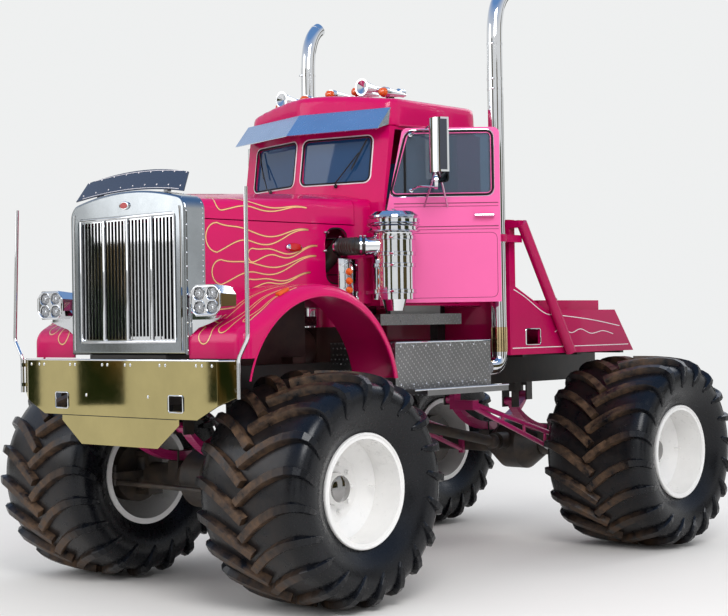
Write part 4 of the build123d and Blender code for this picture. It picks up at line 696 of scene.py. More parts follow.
flames = {(body, tone): bmesh.new() for body in ("truck", "hood_left", "hood_right") for tone in ("gold", "edge")}
for hand, side in sides:
    lidSurface = surfaceOf("hood_" + side)
    for headY, headZ, *lick in flameShape["hood"]:
        runs, current = [], None
        for a, b in lickOutline(*lick):
            y, z = headY + a, headZ + b
            high = z > flameShape["split"]
            if abs(z - flameShape["split"]) < 0.003:
                current = None
                continue
            if current is None or current[0] != high:
                current = (high, [])
                runs.append(current)
            current[1].append((hand * beside, y, z))
        for high, points in runs:
            body, tree = ("hood_" + side, lidSurface) if high else ("truck", hoodSurface)
            for tone, width, lift in flameShape["lines"]:
                paintLine(flames[(body, tone)], tree, points, (-hand, 0, 0), width, lift)
    for headX, turn, *lick in flameShape["fender"]:
        spots = []
        for a, b in lickOutline(*lick):
            angle = radians(turn) - a / flameShape["archRadius"]
            outward = Vector((0, -sin(angle), cos(angle)))
            start = Vector((hand * (headX + b), *flameShape["arch"])) + outward * beside
            spots += hitsOn(fenderSurface, [start], -outward)
        for tone, width, lift in flameShape["lines"]:
            addRibbon(flames[("truck", tone)], spots, width, lift)
# the edge lines are the painted shadow beside the gold flame lines
for (body, tone), bm in flames.items():
    addPiece("flames_" + tone + "_" + body, bm, goldStripe if tone == "gold" else darkStripeAndShadow, body=body)
print("flames ready")

# Radiator shell: rivets, raised dividers, bright inner frame, badge and deflector studs
shellTrim = {
    "columns": ((-2.500, 30), (-2.648, 12)), "stud": (0.0055, 0.003), "smallStud": (0.005, 0.0025),
    # centre, size, softened edge
    "bars": [((x, -2.650, 2.306), (0.026, 0.014, 0.888), 0.006) for x in (-0.27, 0.0, 0.27)]
    + [((x, -2.654, 2.306), (0.020, 0.022, 0.900), 0.007) for x in (-0.532, 0.532)]
    + [((0, -2.654, z), (1.084, 0.022, 0.020), 0.007) for z in (1.860, 2.752)],
    "badge": (0.0, -2.6665, 2.836), "badgeWide": 0.056, "badgeTall": 0.030,
}
shellSurface = surfaceOf("radiator_shell")
bm = bmesh.new()
for hand, _ in sides:
    for y, count in shellTrim["columns"]:
        starts = [(hand * beside, y, z) for z in evenly(1.80, 2.86, count)]
        addStuds(bm, shellSurface, starts, (-hand, 0, 0), *shellTrim["stud"])
    starts = [(hand * beside, -2.462, z) for z in evenly(2.24, 2.70, 13)]
    addStuds(bm, hoodSurface, starts, (-hand, 0, 0), *shellTrim["smallStud"])
addStuds(bm, shellSurface, [(x, -2.500, 3.4) for x in evenly(-0.60, 0.60, 17)], downward, *shellTrim["stud"])
addPiece("shell_rivets", bm, chrome)

bm = bmesh.new()
for bar in shellTrim["bars"]:
    addSlab(bm, *bar)
for x in (-0.605, 0.605):
    addTube(bm, [(x, -2.664, 1.80), (x, -2.664, 2.70), (x * 0.985, -2.664, 2.80)], 0.0075)
addPiece("shell_trim", bm, chrome)

for name, grow, depth, material in (("badge_rim", 1.0, 0.010, chrome), ("badge_field", 0.80, 0.0125, badgeRed)):
    bm = bmesh.new()
    profile = [(-0.004, 0.0), (-0.004, 1.0), (depth * 0.6, 1.0), (depth, 0.86), (depth, 0.0)]
    stretch = (shellTrim["badgeWide"] * grow, 1.0, shellTrim["badgeTall"] * grow)
    addLens(bm, profile, forward, 36, stretch, shellTrim["badge"])
    addPiece(name, bm, material)

deflectorTrim = {"foot": 2.90, "crown": 0.045, "half": 0.6, "tall": 0.155}
deflectorSurface = surfaceOf("bug_deflector")


def deflectorSpots(reach, count, share, foot):
    low, crown, half, tall = foot, deflectorTrim["crown"], deflectorTrim["half"], deflectorTrim["tall"]
    return [(x, ahead, low + crown * (1 - (x / half) ** 2) + tall * share) for x in evenly(-reach, reach, count)]


bm = bmesh.new()
for share in (0.24, 0.86):
    starts = deflectorSpots(0.55, 9, share, deflectorTrim["foot"])
    addStuds(bm, deflectorSurface, starts, backward, 0.006, 0.004)
addPiece("deflector_studs", bm, whiteStripe)
bm = bmesh.new()
for share in (0.12, 0.94):
    starts = deflectorSpots(0.545, 25, share, deflectorTrim["foot"] - 0.005)
    paintLine(bm, deflectorSurface, starts, backward, 0.004)
addPiece("deflector_lines", bm, whiteStripe)

# Bumper: softened plate with its front set back for the trim, rolled edge, bolt pairs, bezels round the tow holes
bumperTrim = {
    "setBack": 0.007, "soften": 0.004, "boltZ": 1.700, "pairs": (0.10, 0.16, 0.48, 0.54, 0.86, 0.92, 1.02),
    "single": ((0.35, 1.48), (1.02, 1.372)), "bolt": (0.012, 0.006), "hole": (0.645, -2.7645, 1.437),
    "edge": [(-1.186, -2.703, 1.734), (-1.070, -2.7615, 1.734), (1.070, -2.7615, 1.734), (1.186, -2.703, 1.734)],
    # centre, size, softened edge
    "fold": ((0, -2.7625, 1.330), (1.30, 0.003, 0.005), 0.001),
}
bm = solidCopy("bumper")
edges = [e for e in bm.edges if len(e.link_faces) == 2 and e.calc_face_angle(0) > radians(25)
         and (e.verts[0].co.y + e.verts[1].co.y) / 2 < -2.69]
bmesh.ops.bevel(bm, geom=edges, offset=bumperTrim["soften"], offset_type="OFFSET", segments=2, profile=0.5,
                affect="EDGES", material=-1, clamp_overlap=True)
for vert in bm.verts:
    if vert.co.y < -2.755:
        vert.co.y += bumperTrim["setBack"]
addPiece("bumper_plate", bm, bumperGoldReflectChrome, replaced=("bumper",), sharp=12)
bumperSurface = surfaceOf("bumper")
bm = bmesh.new()
addTube(bm, bumperTrim["edge"], 0.0065)
for hand, _ in sides:
    starts = [(hand * x, ahead, bumperTrim["boltZ"]) for x in bumperTrim["pairs"]]
    starts += [(hand * x, ahead, z) for x, z in bumperTrim["single"]]
    addStuds(bm, bumperSurface, starts, backward, *bumperTrim["bolt"], 10, bumperTrim["setBack"])
    x, y, z = bumperTrim["hole"]
    addTube(bm, roundedLoop((hand * x, y, z), across, upward, 0.150, 0.115, 0.012), 0.005, closed=True)
addPiece("bumper_trim", bm, chrome)
# a thin black strip along the bumper's fold: painted shade in the crease
bm = bmesh.new()
addSlab(bm, *bumperTrim["fold"])
addPiece("bumper_fold_shade", bm, rubberAndShadeBlack)

# Headlamps: ribs, bright rings, bulbs and a bracket down to the shell
lampTrim = {
    "pod": (0.880, 2.140), "pitch": (0.132, 0.096), "oval": (0.052, 1.0, 0.040), "bulb": (0.016, 0.010),
    "rim": [(-0.146, -0.060), (-0.100, -0.096), (0.100, -0.096), (0.146, -0.060),
            (0.146, 0.060), (0.100, 0.096), (-0.100, 0.096), (-0.146, 0.060)],
    "wedge": [(0.651, 2.040), (0.960, 2.016), (0.860, 1.985), (0.740, 1.955), (0.651, 1.900)],
    "face": [(-0.002, 0.0), (-0.002, 1.0), (0.001, 1.0), (0.007, 0.72), (0.0095, 0.36), (0.0105, 0.0)],
}
podX, podZ = lampTrim["pod"]
for hand, side in sides:
    lamps = [Vector((hand * podX + a * lampTrim["pitch"][0], -2.688, podZ + b * lampTrim["pitch"][1]))
             for a in (-0.5, 0.5) for b in (-0.5, 0.5)]
    bm = bmesh.new()
    rim = [(hand * (podX + a), -2.690, podZ + b) for a, b in lampTrim["rim"]]
    addTube(bm, softCorners(rim, 0.022, 3), 0.006, closed=True)
    for spot in lamps:
        addTube(bm, roundedLoop(spot, across, upward, 0.118, 0.092, 0.043, 4), 0.0055, closed=True)
        addDome(bm, spot + backward * 0.010, forward, *lampTrim["bulb"], 12)
    plate = bm.faces.new([bm.verts.new((hand * x, -2.630, z)) for x, z in lampTrim["wedge"]])
    for item in bmesh.ops.extrude_face_region(bm, geom=[plate])["geom"]:
        if isinstance(item, bmesh.types.BMVert):
            item.co.y += 0.070
    addSlab(bm, (hand * 0.655, -2.60, 2.005), (0.010, 0.070, 0.090), 0.003)
    addPiece("lamp_trim_" + side, bm, chrome)
    bm = bmesh.new()
    for spot in lamps:
        spot = spot + backward * 0.012
        addLens(bm, lampTrim["face"], forward, 24, lampTrim["oval"], spot)
        for c in evenly(-0.036, 0.036, 7):
            addSlab(bm, spot + Vector((c, -0.008, 0)), (0.0035, 0.004, 0.050), 0.001)
    addPiece("lamp_face_" + side, bm, lampGlass)
print("nose ready")

# Hood sides: side lamps in a bright holder, latches, bolts and the rim of the intake's opening
hoodTrim = {
    "lampPlace": (-1.62, 2.535), "lampHalf": (0.024, 0.085, 0.032),
    "latches": [(-1.30, 2.655), (-1.27, 2.585), (-1.31, 2.515)], "bolts": [(-2.20, 2.232), (-1.20, 2.232)],
    "opening": [(-1.305, 2.27), (-1.085, 2.27), (-1.085, 2.69), (-1.305, 2.69)],
}
bm, lens, seal = emptyForms(3)
for hand, _ in sides:
    inwards = (-hand, 0, 0)
    (spot, _), = hitsOn(hoodSurface, [(hand * beside, *hoodTrim["lampPlace"])], inwards)
    for target, low, high, grow in ((bm, -1.0, -0.62, 1.06), (lens, -0.66, 0.66, 1.0), (bm, 0.62, 1.0, 1.06)):
        outline = [(low, 0.0)] + [(t, sqrt(max(1 - t * t, 0.0))) for t in evenly(low, high, 9)] + [(high, 0.0)]
        x, y, z = hoodTrim["lampHalf"]
        addLens(target, outline, backward, 20, (x * grow, y, z * grow), spot + across * (hand * 0.004))
    for spot, normal in hitsOn(hoodSurface, [(hand * beside, y, z) for y, z in hoodTrim["latches"]], inwards):
        addSlab(bm, spot + normal * 0.006, (0.012, 0.050, 0.014), 0.003)
        addDome(bm, spot + normal * 0.010 + forward * 0.012, normal, 0.008, 0.008, 10)
    addStuds(bm, hoodSurface, [(hand * beside, y, z) for y, z in hoodTrim["bolts"]], inwards, 0.008, 0.005, 10)
    outline = softCorners([(hand * beside, y, z) for y, z in hoodTrim["opening"]], 0.10, 6)
    paintLine(seal, hoodSurface, outline, inwards, 0.012, 0.003, closed=True)
addPiece("hood_fittings", bm, chrome)
addPiece("side_lamp_lenses", lens, redGlass)
addPiece("intake_seal", seal, rubberAndShadeBlack)

# Fender lips: a rolled bead round each arch, and an amber marker
fenderTrim = {
    "arch": (-1.850, 1.423, 0.745), "beadX": 1.190, "marker": (1.100, -2.175), "lens": (0.046, 0.105, 0.024),
}
bm, lens = emptyForms(2)
y0, z0, radius = fenderTrim["arch"]
for hand, _ in sides:
    turns = evenly(0.23, pi - 0.24, 48)
    addTube(bm, [(hand * fenderTrim["beadX"], y0 - radius * cos(t), z0 + radius * sin(t)) for t in turns], 0.0075)
    x, y = fenderTrim["marker"]
    for spot, normal in hitsOn(fenderSurface, [(hand * x, y, 3.4)], downward):
        along = normal.cross(across).normalized()
        turn = Matrix((across, along, across.cross(along))).transposed().to_4x4()
        addSlab(lens, spot + normal * 0.009, fenderTrim["lens"], 0.007, turn)
addPiece("fender_beads", bm, paint)
addPiece("fender_markers", lens, amberGlass)

# Intake: ribbed hose, clamps, chrome elbow and a lamp plate with three ambers
intakeTrim = {
    "path": [(1.010, -1.060, 2.545), (0.960, -1.115, 2.545), (0.890, -1.190, 2.545), (0.800, -1.200, 2.545),
             (0.690, -1.200, 2.545)],
    "ribs": range(15, 39, 2), "rib": (0.0625, 0.0065), "clamps": (2, 14, 17, 36), "clamp": (0.062, 0.0735, 0.008),
    "plate": ((0.852, -1.248, 2.285), (0.012, 0.215, 0.335)),
    "bolts": [(-1.34, 2.165), (-1.16, 2.165), (-1.34, 2.405), (-1.16, 2.405)],
    "arm": [(0.846, -1.20, 2.17), (0.78, -1.20, 2.13), (0.70, -1.19, 2.12)], "ambers": (2.355, 2.285, 2.216),
    "amber": [(0.0, 0.0), (0.0, 0.027), (0.012, 0.026), (0.024, 0.018), (0.028, 0.0)],
}
path = smoothRun(intakeTrim["path"], 10)
bm = bmesh.new()
for i in intakeTrim["ribs"]:
    addRing(bm, path[i + 1], (path[i + 2] - path[i + 1]).normalized(), *intakeTrim["rib"], 28, 6)
addPiece("hose_ribs", bm, hoseRubber)
bm = bmesh.new()
for i in intakeTrim["clamps"]:
    addBand(bm, path[i], (path[i + 1] - path[i]).normalized(), *intakeTrim["clamp"], 28)
    addSlab(bm, path[i] + upward * 0.074, (0.014, 0.026, 0.014), 0.003)
addTube(bm, path[1:15], 0.0675, 28)
addSlab(bm, *intakeTrim["plate"], 0.005)
for y, z in intakeTrim["bolts"]:
    addDome(bm, (0.858, y, z), across, 0.008, 0.005, 10)
addTube(bm, intakeTrim["arm"], 0.012)
addPiece("intake_fittings", bm, chrome)
bm = bmesh.new()
for z in intakeTrim["ambers"]:
    spinProfile(bm, intakeTrim["amber"], across, (0.857, -1.248, z), 20)
addPiece("intake_ambers", bm, amberGlass)
print("flanks ready")

# Air cleaner: clamp bands with bolts, a ringed cap and a dome on top
cleanerTrim = {
    "centre": (1.050, -0.958), "bands": (2.190, 2.385, 2.470, 2.590), "bandRing": (0.1655, 0.0035),
    "capRings": ((2.655, 0.199), (2.700, 0.201), (2.742, 0.199)),
}
bm = bmesh.new()
cx, cy = cleanerTrim["centre"]
for z in cleanerTrim["bands"]:
    for edge in (0.001, 0.025):
        addRing(bm, (cx, cy, z + edge), upward, *cleanerTrim["bandRing"], 48, 6)
    addSlab(bm, (cx + 0.10, cy - 0.136, z + 0.013), (0.050, 0.016, 0.016), 0.003)
for z, radius in cleanerTrim["capRings"]:
    addRing(bm, (cx, cy, z), upward, radius, 0.004, 48, 6)
addDome(bm, (cx, cy, 2.812), upward, 0.022, 0.014, 16)
addPiece("cleaner_trim", bm, chrome)

# Windshield: bright surrounds, seals and wipers
glassTrim = {"centre": (0.345, -0.8276, 3.250), "width": 0.610, "height": 0.345, "corner": 0.040, "rake": 0.2401}
bodySurface = surfaceOf("cab_body")
bm, rubber, wipers = emptyForms(3)
paneUp = Vector((0, 0.085, 0.600)).normalized()
for hand, _ in sides:
    along = Vector((1, hand * glassTrim["rake"], 0)).normalized()
    outward = along.cross(paneUp).normalized()
    x, y, z = glassTrim["centre"]
    centre = Vector((hand * x, y, z))
    for grow, thick, target in ((0.034, 0.0055, bm), (0.012, 0.0075, rubber)):
        spots = []
        for point in roundedLoop(centre, along, paneUp, glassTrim["width"] + grow, glassTrim["height"] + grow,
                                 glassTrim["corner"] + grow / 2):
            hit = castOnto(bodySurface, point + outward * 0.4, -outward)
            spots.append(hit[0] if hit and (hit[0] - point).length < 0.06 else point)
        addTube(target, spots, thick, closed=True)
    base = centre + along * (hand * 0.02) - paneUp * 0.205 + outward * 0.022
    tip = centre + along * (hand * 0.21) + paneUp * 0.05 + outward * 0.012
    addTube(wipers, [base, base.lerp(tip, 0.1) + outward * 0.02, tip + outward * 0.008], 0.005)
    addDome(wipers, base - outward * 0.012, outward, 0.016, 0.018, 12)
    blade = (tip - base).normalized() * 0.10
    addTube(wipers, [tip - blade - paneUp * 0.05, tip + blade + paneUp * 0.03], 0.006)
addPiece("windshield_trim", bm, whiteStripe)
addPiece("windshield_seal", rubber, rubberAndShadeBlack)
addPiece("wipers", wipers, chassisBlack)

# Roof: a rounded skin over the crown, drip gutters, marker discs, visor screws and its rolled lower edge
roofShape = {"voxel": 0.018, "from": 3.585, "passes": 26, "side": 0.8, "gutterZ": 3.520}
roofSurface = surfaceOf("cab_roof")
helper = evenSkin(solidCopy("cab_roof"), "roofHelper", roofShape["voxel"])
bm = bmesh.new()
bm.from_mesh(helper.data)
bpy.data.objects.remove(helper)
upper = [v for v in bm.verts if v.co.z > roofShape["from"]]
for _ in range(roofShape["passes"]):
    bmesh.ops.smooth_vert(bm, verts=upper, factor=0.5, use_axis_x=True, use_axis_y=True, use_axis_z=True)
for vert in bm.verts:
    if vert.co.z < roofShape["from"]:
        vert.co.x = max(min(vert.co.x, roofShape["side"]), -roofShape["side"])
addPiece("cab_roof_shell", bm, paint, replaced=("cab_roof",), sharp=60)
bm = bmesh.new()
for hand, _ in sides:
    starts = [(hand * beside, y, roofShape["gutterZ"]) for y in evenly(-0.60, 0.40, 22)]
    spots = [spot for spot, _ in hitsOn(roofSurface, starts, (-hand, 0, 0))]
    addTube(bm, [spot + downward * (0.012 * ((spot.y + 0.1) / 0.5) ** 2) for spot in spots], 0.009)
addPiece("roof_gutters", bm, paint)
bm = bmesh.new()
addStuds(bm, roofSurface, [(x, 0.20, 5.0) for x in evenly(-0.30, 0.30, 3)], downward, 0.03, 0.018, 16)
visorSurface = surfaceOf("sun_visor")
for hand, _ in sides:
    starts = [(hand * x, -1.05 + x * 0.24, 4.2) for x in (0.10, 0.32, 0.54, 0.74)]
    addStuds(bm, visorSurface, starts, Vector((0, 0.35, -1)).normalized(), 0.007, 0.004)
    addTube(bm, [(hand * x, -1.029 + x * glassTrim["rake"], 3.4645) for x in evenly(0.02, 0.79, 8)], 0.0045)
addPiece("roof_fittings", bm, aluminium)
print("cab ready")

# Doors: every point is set in the shut door, then swung with it
doorTrim = {
    "hinge": Vector((0.790, -0.775, 0.0)), "open": -47,
    "window": [(-0.722, 2.950), (0.071, 2.950), (0.071, 3.440), (-0.590, 3.440)],
    "panel": [(-0.735, 2.155), (0.10, 2.155), (0.10, 2.655), (-0.735, 2.655)],
    "belts": [(2.885, 0.007), (2.860, 0.004), (2.705, 0.007), (2.682, 0.004)],
    "grip": [(0.812, -0.075, 2.788), (0.834, -0.070, 2.788), (0.840, 0.0, 2.788), (0.834, 0.070, 2.788),
             (0.812, 0.075, 2.788)],
    "mirror": (1.090, -0.370, 3.200), "mirrorFace": (-0.574, 0.819), "mirrorEnd": (0.819, 0.574),
    "arm": [(0.800, -0.56, 0.0), (0.93, -0.50, 0.02), (1.075, -0.385, 0.0)], "armZ": (3.415, 2.985),
    "grow": 0.012, "pins": (2.235, 2.625), "pin": (0.800, -0.776), "pinHalf": 0.05,
    # place, heights, radius
    "rubbers": [((0.772, -0.605), (2.965, 3.20, 3.425), 0.010), ((0.792, -0.7725), (2.125, 2.45, 2.73), 0.007)],
    # centre, size, softened edge
    "card": [((0.746, -0.315, 2.545), (0.010, 0.760, 0.640), 0.004),
             ((0.722, -0.200, 2.700), (0.045, 0.360, 0.055), 0.014),
             ((0.738, -0.315, 2.330), (0.014, 0.560, 0.150), 0.006)],
}
doorTurn = {1: Matrix.Rotation(radians(doorTrim["open"]), 4, "Z"), -1: Matrix.Identity(4)}


def swung(point, hand):
    x, y, z = point
    pivot = doorTrim["hinge"]
    return doorTurn[1] @ (Vector(point) - pivot) + pivot if hand > 0 else Vector((-x, y, z))


def heading(x, y, hand):
    return (swung((x, y, 0), hand) - swung((0, 0, 0), hand)).normalized()


for hand, side in sides:
    body = "door_" + side
    doorSurface = surfaceOf(body)
    inward = heading(-1, 0, hand)

    def onDoor(outline, radius=0.0, steps=6):
        flat = [Vector((0.0, y, z)) for y, z in outline]
        loop = softCorners(flat, radius, steps) if radius else flat
        return hitsOn(doorSurface, [swung((1.6, p.y, p.z), hand) for p in loop], inward)

    bm = bmesh.new()
    addTube(bm, [spot for spot, _ in onDoor(doorTrim["window"], 0.055)], 0.0085, closed=True)
    for place, heights, radius in doorTrim["rubbers"]:
        addTube(bm, [swung((*place, z), hand) for z in heights], radius)
    addPiece("door_rubber_" + side, bm, rubberAndShadeBlack, body=body)

    bm = bmesh.new()
    grow = doorTrim["grow"]
    outer = [(y + (grow if y > 0 else -grow), z + (grow if z > 3.2 else -grow)) for y, z in doorTrim["window"]]
    addTube(bm, [spot for spot, _ in onDoor(outer, 0.065)], 0.0035, closed=True)
    addTube(bm, [swung(point, hand) for point in doorTrim["grip"]], 0.008)
    reach = doorTrim["pinHalf"]
    for z in doorTrim["pins"]:
        addTube(bm, [swung((*doorTrim["pin"], z + a), hand) for a in (-reach, reach)], 0.009)
    addPiece("door_trim_" + side, bm, chrome, body=body)

    bm = bmesh.new()
    for z, width in doorTrim["belts"]:
        addRibbon(bm, onDoor([(y, z) for y in evenly(-0.752, 0.112, 16)]), width)
    addRibbon(bm, onDoor(doorTrim["panel"], 0.05, 5), 0.0035, closed=True)
    addPiece("door_lines_" + side, bm, darkStripeAndShadow, body=body)

    # mirror glass set on the flat back of its housing, and a rubber lip round it
    mirrorSurface = surfaceOf("mirror_" + side)
    middle = swung(doorTrim["mirror"], hand)
    back = heading(*doorTrim["mirrorFace"], hand)
    spot, face = castOnto(mirrorSurface, middle + back * 0.5, -back)
    lie = face.cross(upward).normalized()
    bm = bmesh.new()
    addTube(bm, roundedLoop(spot + face * 0.001, lie, upward, 0.145, 0.350, 0.025), 0.0055, closed=True)
    addPiece("mirror_lip_" + side, bm, rubberAndShadeBlack, body=body)
    bm = bmesh.new()
    rim = roundedLoop(spot + face * 0.0035, lie, upward, 0.140, 0.345, 0.022)
    plate = bm.faces.new([bm.verts.new(p) for p in rim])
    bmesh.ops.extrude_face_region(bm, geom=[plate])
    for vert in plate.verts:
        vert.co -= face * 0.004
    addPiece("mirror_glass_" + side, bm, mirrorFace, body=body)
    outer = heading(*doorTrim["mirrorEnd"], hand)
    starts = [middle + upward * (z - 3.2) + outer * 0.5 for z in evenly(3.11, 3.49, 5)]
    bm = bmesh.new()
    addRibbon(bm, hitsOn(mirrorSurface, starts, -outer), 0.060)
    addPiece("mirror_end_" + side, bm, navyShield, body=body)
    bm = bmesh.new()
    for z in doorTrim["armZ"]:
        arm = [swung((x, y, z + rise), hand) for x, y, rise in doorTrim["arm"]]
        addTube(bm, smoothRun(arm), 0.007)
        addDome(bm, arm[0], -inward, 0.018, 0.010, 12)
    addPiece("mirror_loops_" + side, bm, chrome, body=body)
print("doors ready")

# Stacks: pipes with a swept open tip, bands, clamp bolts and a heat-tinted elbow at each foot
stackTrim = {
    "place": (1.065, 0.300), "radius": 0.0635, "wall": 0.006, "footZ": 1.600, "footBend": 0.110, "mouthDepth": 0.050,
    "facets": 40, "sweep": ((0.300, 4.250), (0.300, 4.570), (0.450, 4.652)), "collarZ": 1.82,
    "bands": (2.610, 2.670, 3.850, 3.930, 4.215), "band": (0.063, 0.0665, 0.010), "collar": (0.064, 0.0675, 0.10),
}
pipes, mouths, bands, collars = emptyForms(4)
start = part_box("stacks")[0][1]
for hand, _ in sides:
    x, y = hand * stackTrim["place"][0], stackTrim["place"][1]
    footZ, reach = stackTrim["footZ"], stackTrim["footBend"]
    path = [Vector((x, start, footZ))]
    path += curveThrough((x, max(start + 0.01, y - reach), footZ), (x, y, footZ), (x, y, footZ + reach), 8)
    path += curveThrough(*[(x, *spot) for spot in stackTrim["sweep"]], 14)
    addTube(pipes, path, stackTrim["radius"], stackTrim["facets"])
    pipes.faces.ensure_lookup_table()
    mouth = pipes.faces[-1]
    out = (path[-1] - path[-2]).normalized()
    bmesh.ops.inset_individual(pipes, faces=[mouth], thickness=stackTrim["wall"])
    inner = bmesh.ops.extrude_discrete_faces(pipes, faces=[mouth])["faces"][0]
    bmesh.ops.translate(pipes, verts=inner.verts, vec=out * -stackTrim["mouthDepth"])
    spot = path[-1] - out * (stackTrim["mouthDepth"] - 0.002)
    addDome(mouths, spot, out, stackTrim["radius"] - stackTrim["wall"], 0.002, 32)
    for z in stackTrim["bands"]:
        addBand(bands, (x, y, z), upward, *stackTrim["band"], 28)
        addSlab(bands, (x + hand * 0.030, y - 0.066, z), (0.028, 0.016, 0.016), 0.003)
    addBand(collars, (x, y, stackTrim["collarZ"]), upward, *stackTrim["collar"], 32)
addPiece("stack_pipes", pipes, chrome, replaced=("stacks",), sharp=40)
addPiece("stack_mouths", mouths, rubberAndShadeBlack)
addPiece("stack_bands", bands, chrome)
addPiece("stack_feet", collars, warmChrome)

# Deck: white pinstripes, bright bezels and rear lamps
deckTrim = {
    # width of the line, then its (y, z) points
    "stripes": [(0.007, [(0.43, 1.745), (0.9, 1.745), (1.5, 1.745), (2.19, 1.745)]),
                (0.007, [(0.455, 2.225), (0.62, 2.158), (0.88, 2.030), (1.10, 2.010), (1.60, 1.965), (2.18, 1.885)]),
                (0.006, [(1.02, 1.87), (1.12, 1.90), (1.26, 1.86), (1.40, 1.89), (1.56, 1.85), (1.74, 1.87),
                         (1.90, 1.84)])],
    "hole": (1.100, 0.713, 1.835), "lamps": (0.72, 0.88), "lampZ": 1.78,
    "lamp": [(-0.002, 0.0), (-0.002, 0.045), (0.014, 0.044), (0.022, 0.030), (0.025, 0.0)],
}
deckSurface = surfaceOf("deck")
stripes, bezels, rear = emptyForms(3)
for hand, _ in sides:
    for width, points in deckTrim["stripes"]:
        line = smoothRun([(hand * 1.8, y, z) for y, z in points], 8)
        paintLine(stripes, deckSurface, line, (-hand, 0, 0), width)
    x, y, z = deckTrim["hole"]
    addTube(bezels, roundedLoop((hand * x, y, z), backward, upward, 0.200, 0.130, 0.014), 0.006, closed=True)
    starts = [(hand * x, behind, deckTrim["lampZ"]) for x in deckTrim["lamps"]]
    for spot, _ in hitsOn(deckSurface, starts, forward):
        spinProfile(rear, deckTrim["lamp"], backward, spot, 28)
        addRing(bezels, spot + backward * 0.004, backward, 0.048, 0.006, 32, 8)
addPiece("deck_pinstripes", stripes, whiteStripe)
addPiece("deck_bezels", bezels, chrome)
addPiece("rear_lamps", rear, redGlass)

# Cab's back: window seal and rows of rivets
backTrim = {
    "windowZ": 3.235, "window": (0.74, 0.36, 0.05), "rows": (2.16, 2.56), "columnX": 0.745, "rivet": (0.007, 0.004),
}
backY = castOnto(bodySurface, (0.40, 2.0, 2.80), forward)[0].y
bm = bmesh.new()
addTube(bm, roundedLoop((0, backY, backTrim["windowZ"]), across, upward, *backTrim["window"]), 0.008, closed=True)
addPiece("rear_window_seal", bm, rubberAndShadeBlack)
bm = bmesh.new()
spots = [(x, z) for x in evenly(-0.70, 0.70, 15) for z in backTrim["rows"]]
spots += [(hand * backTrim["columnX"], z) for hand, _ in sides for z in evenly(2.16, 3.44, 15)]
for x, z in spots:
    addDome(bm, (x, backY, z), backward, *backTrim["rivet"], 8)
addPiece("cab_rivets", bm, paint)

# Deck's covers: handles, rivets along the rear edge and a blank plate
coverTrim = {
    "handleX": 0.55, "handles": (1.15, 1.75), "rivetZ": 1.845, "plateZ": 1.77, "plate": (0.31, 0.006, 0.105),
    "handle": [(0, -0.07, -0.004), (0, -0.062, 0.030), (0, 0.062, 0.030), (0, 0.07, -0.004)],
}
bm = bmesh.new()
for hand, _ in sides:
    starts = [(hand * coverTrim["handleX"], y, above) for y in coverTrim["handles"]]
    for spot, _ in hitsOn(deckSurface, starts, downward):
        addTube(bm, smoothRun([spot + Vector(point) for point in coverTrim["handle"]], 5), 0.007)
    starts = [(hand * x, behind, coverTrim["rivetZ"]) for x in evenly(0.10, 1.02, 12)]
    addStuds(bm, deckSurface, starts, forward, 0.006, 0.003)
addPiece("deck_fittings", bm, chrome)
bm = bmesh.new()
for spot, _ in hitsOn(deckSurface, [(0.0, behind, coverTrim["plateZ"])], forward):
    addSlab(bm, spot + backward * 0.003, coverTrim["plate"], 0.002)
addPiece("blank_plate", bm, whiteStripe)

# Steps: bright nosings over the treads, with bolts
stepTrim = {"noses": ((1.100, 1.818), (1.280, 1.466)), "ends": (-1.008, 0.130), "boltX": 1.100, "boltZ": (1.79, 1.50)}
bm = bmesh.new()
for hand, _ in sides:
    for x, z in stepTrim["noses"]:
        addTube(bm, [(hand * x, y, z) for y in stepTrim["ends"]], 0.0065)
    for y in evenly(-0.95, 0.07, 8):
        for z in stepTrim["boltZ"]:
            addDome(bm, (hand * stepTrim["boltX"], y, z), (hand, 0, 0), 0.008, 0.004, 8)
addPiece("step_nosings", bm, chrome)

# Springs: two U-bolts round each pack
springTrim = {"axles": (-1.876, 1.948), "half": 0.345, "reach": 0.050, "boltRadius": 0.010, "apart": (-0.075, 0.075)}
springSurface = surfaceOf("leaf_springs")
bm = bmesh.new()
for y in springTrim["axles"]:
    for hand, _ in sides:
        starts = [(hand * springTrim["half"], y + shift, 2.0) for shift in springTrim["apart"]]
        for spot, _ in hitsOn(springSurface, starts, downward):
            inner, outer = [hand * (springTrim["half"] + a * springTrim["reach"]) for a in (-1, 1)]
            top = spot.z + 0.006
            foot = top - 0.15
            bow = [(x, spot.y, z) for x, z in ((inner, foot), (inner, top), (outer, top), (outer, foot))]
            addTube(bm, bow, springTrim["boltRadius"])
addPiece("spring_bolts", bm, chassisBlack)
print("deck and chassis ready")

# Seats: crowned cushions with sewn channels and piping, swollen by a short cloth run
seatShape = {
    "voxel": 0.010, "pressure": 4.0, "frames": 20, "cap": 0.020, "shrink": 0.016, "edge": 0.045,
    "channel": 0.010, "channelHalf": 0.022, "channels": (-0.12, 0.0, 0.12),
    # name, low corner, high corner, way that the channelled face looks, way up that face
    "pads": [("cushion", (0.180, -0.280, 2.200), (0.620, 0.198, 2.420), upward, backward),
             ("back", (0.180, 0.202, 2.330), (0.620, 0.330, 3.020), forward, upward)],
}


def swell(bm, name):
    # the shape filled with air, its moves capped
    helper = evenSkin(bm, name, seatShape["voxel"])
    rest = [v.co.copy() for v in helper.data.vertices]
    cloth = helper.modifiers.new("cloth", "CLOTH")
    cloth.settings.use_pressure = True
    cloth.settings.uniform_pressure_force = seatShape["pressure"]
    cloth.settings.effector_weights.gravity = 0.0
    for frameNumber in range(1, seatShape["frames"] + 1):
        scene.frame_set(frameNumber)
    swollen = modifiedMesh(helper)
    for vert, start in zip(swollen.vertices, rest):
        move = vert.co - start
        if move.length > seatShape["cap"]:
            vert.co = start + move.normalized() * seatShape["cap"]
    scene.frame_set(1)
    bpy.data.objects.remove(helper)
    return swollen


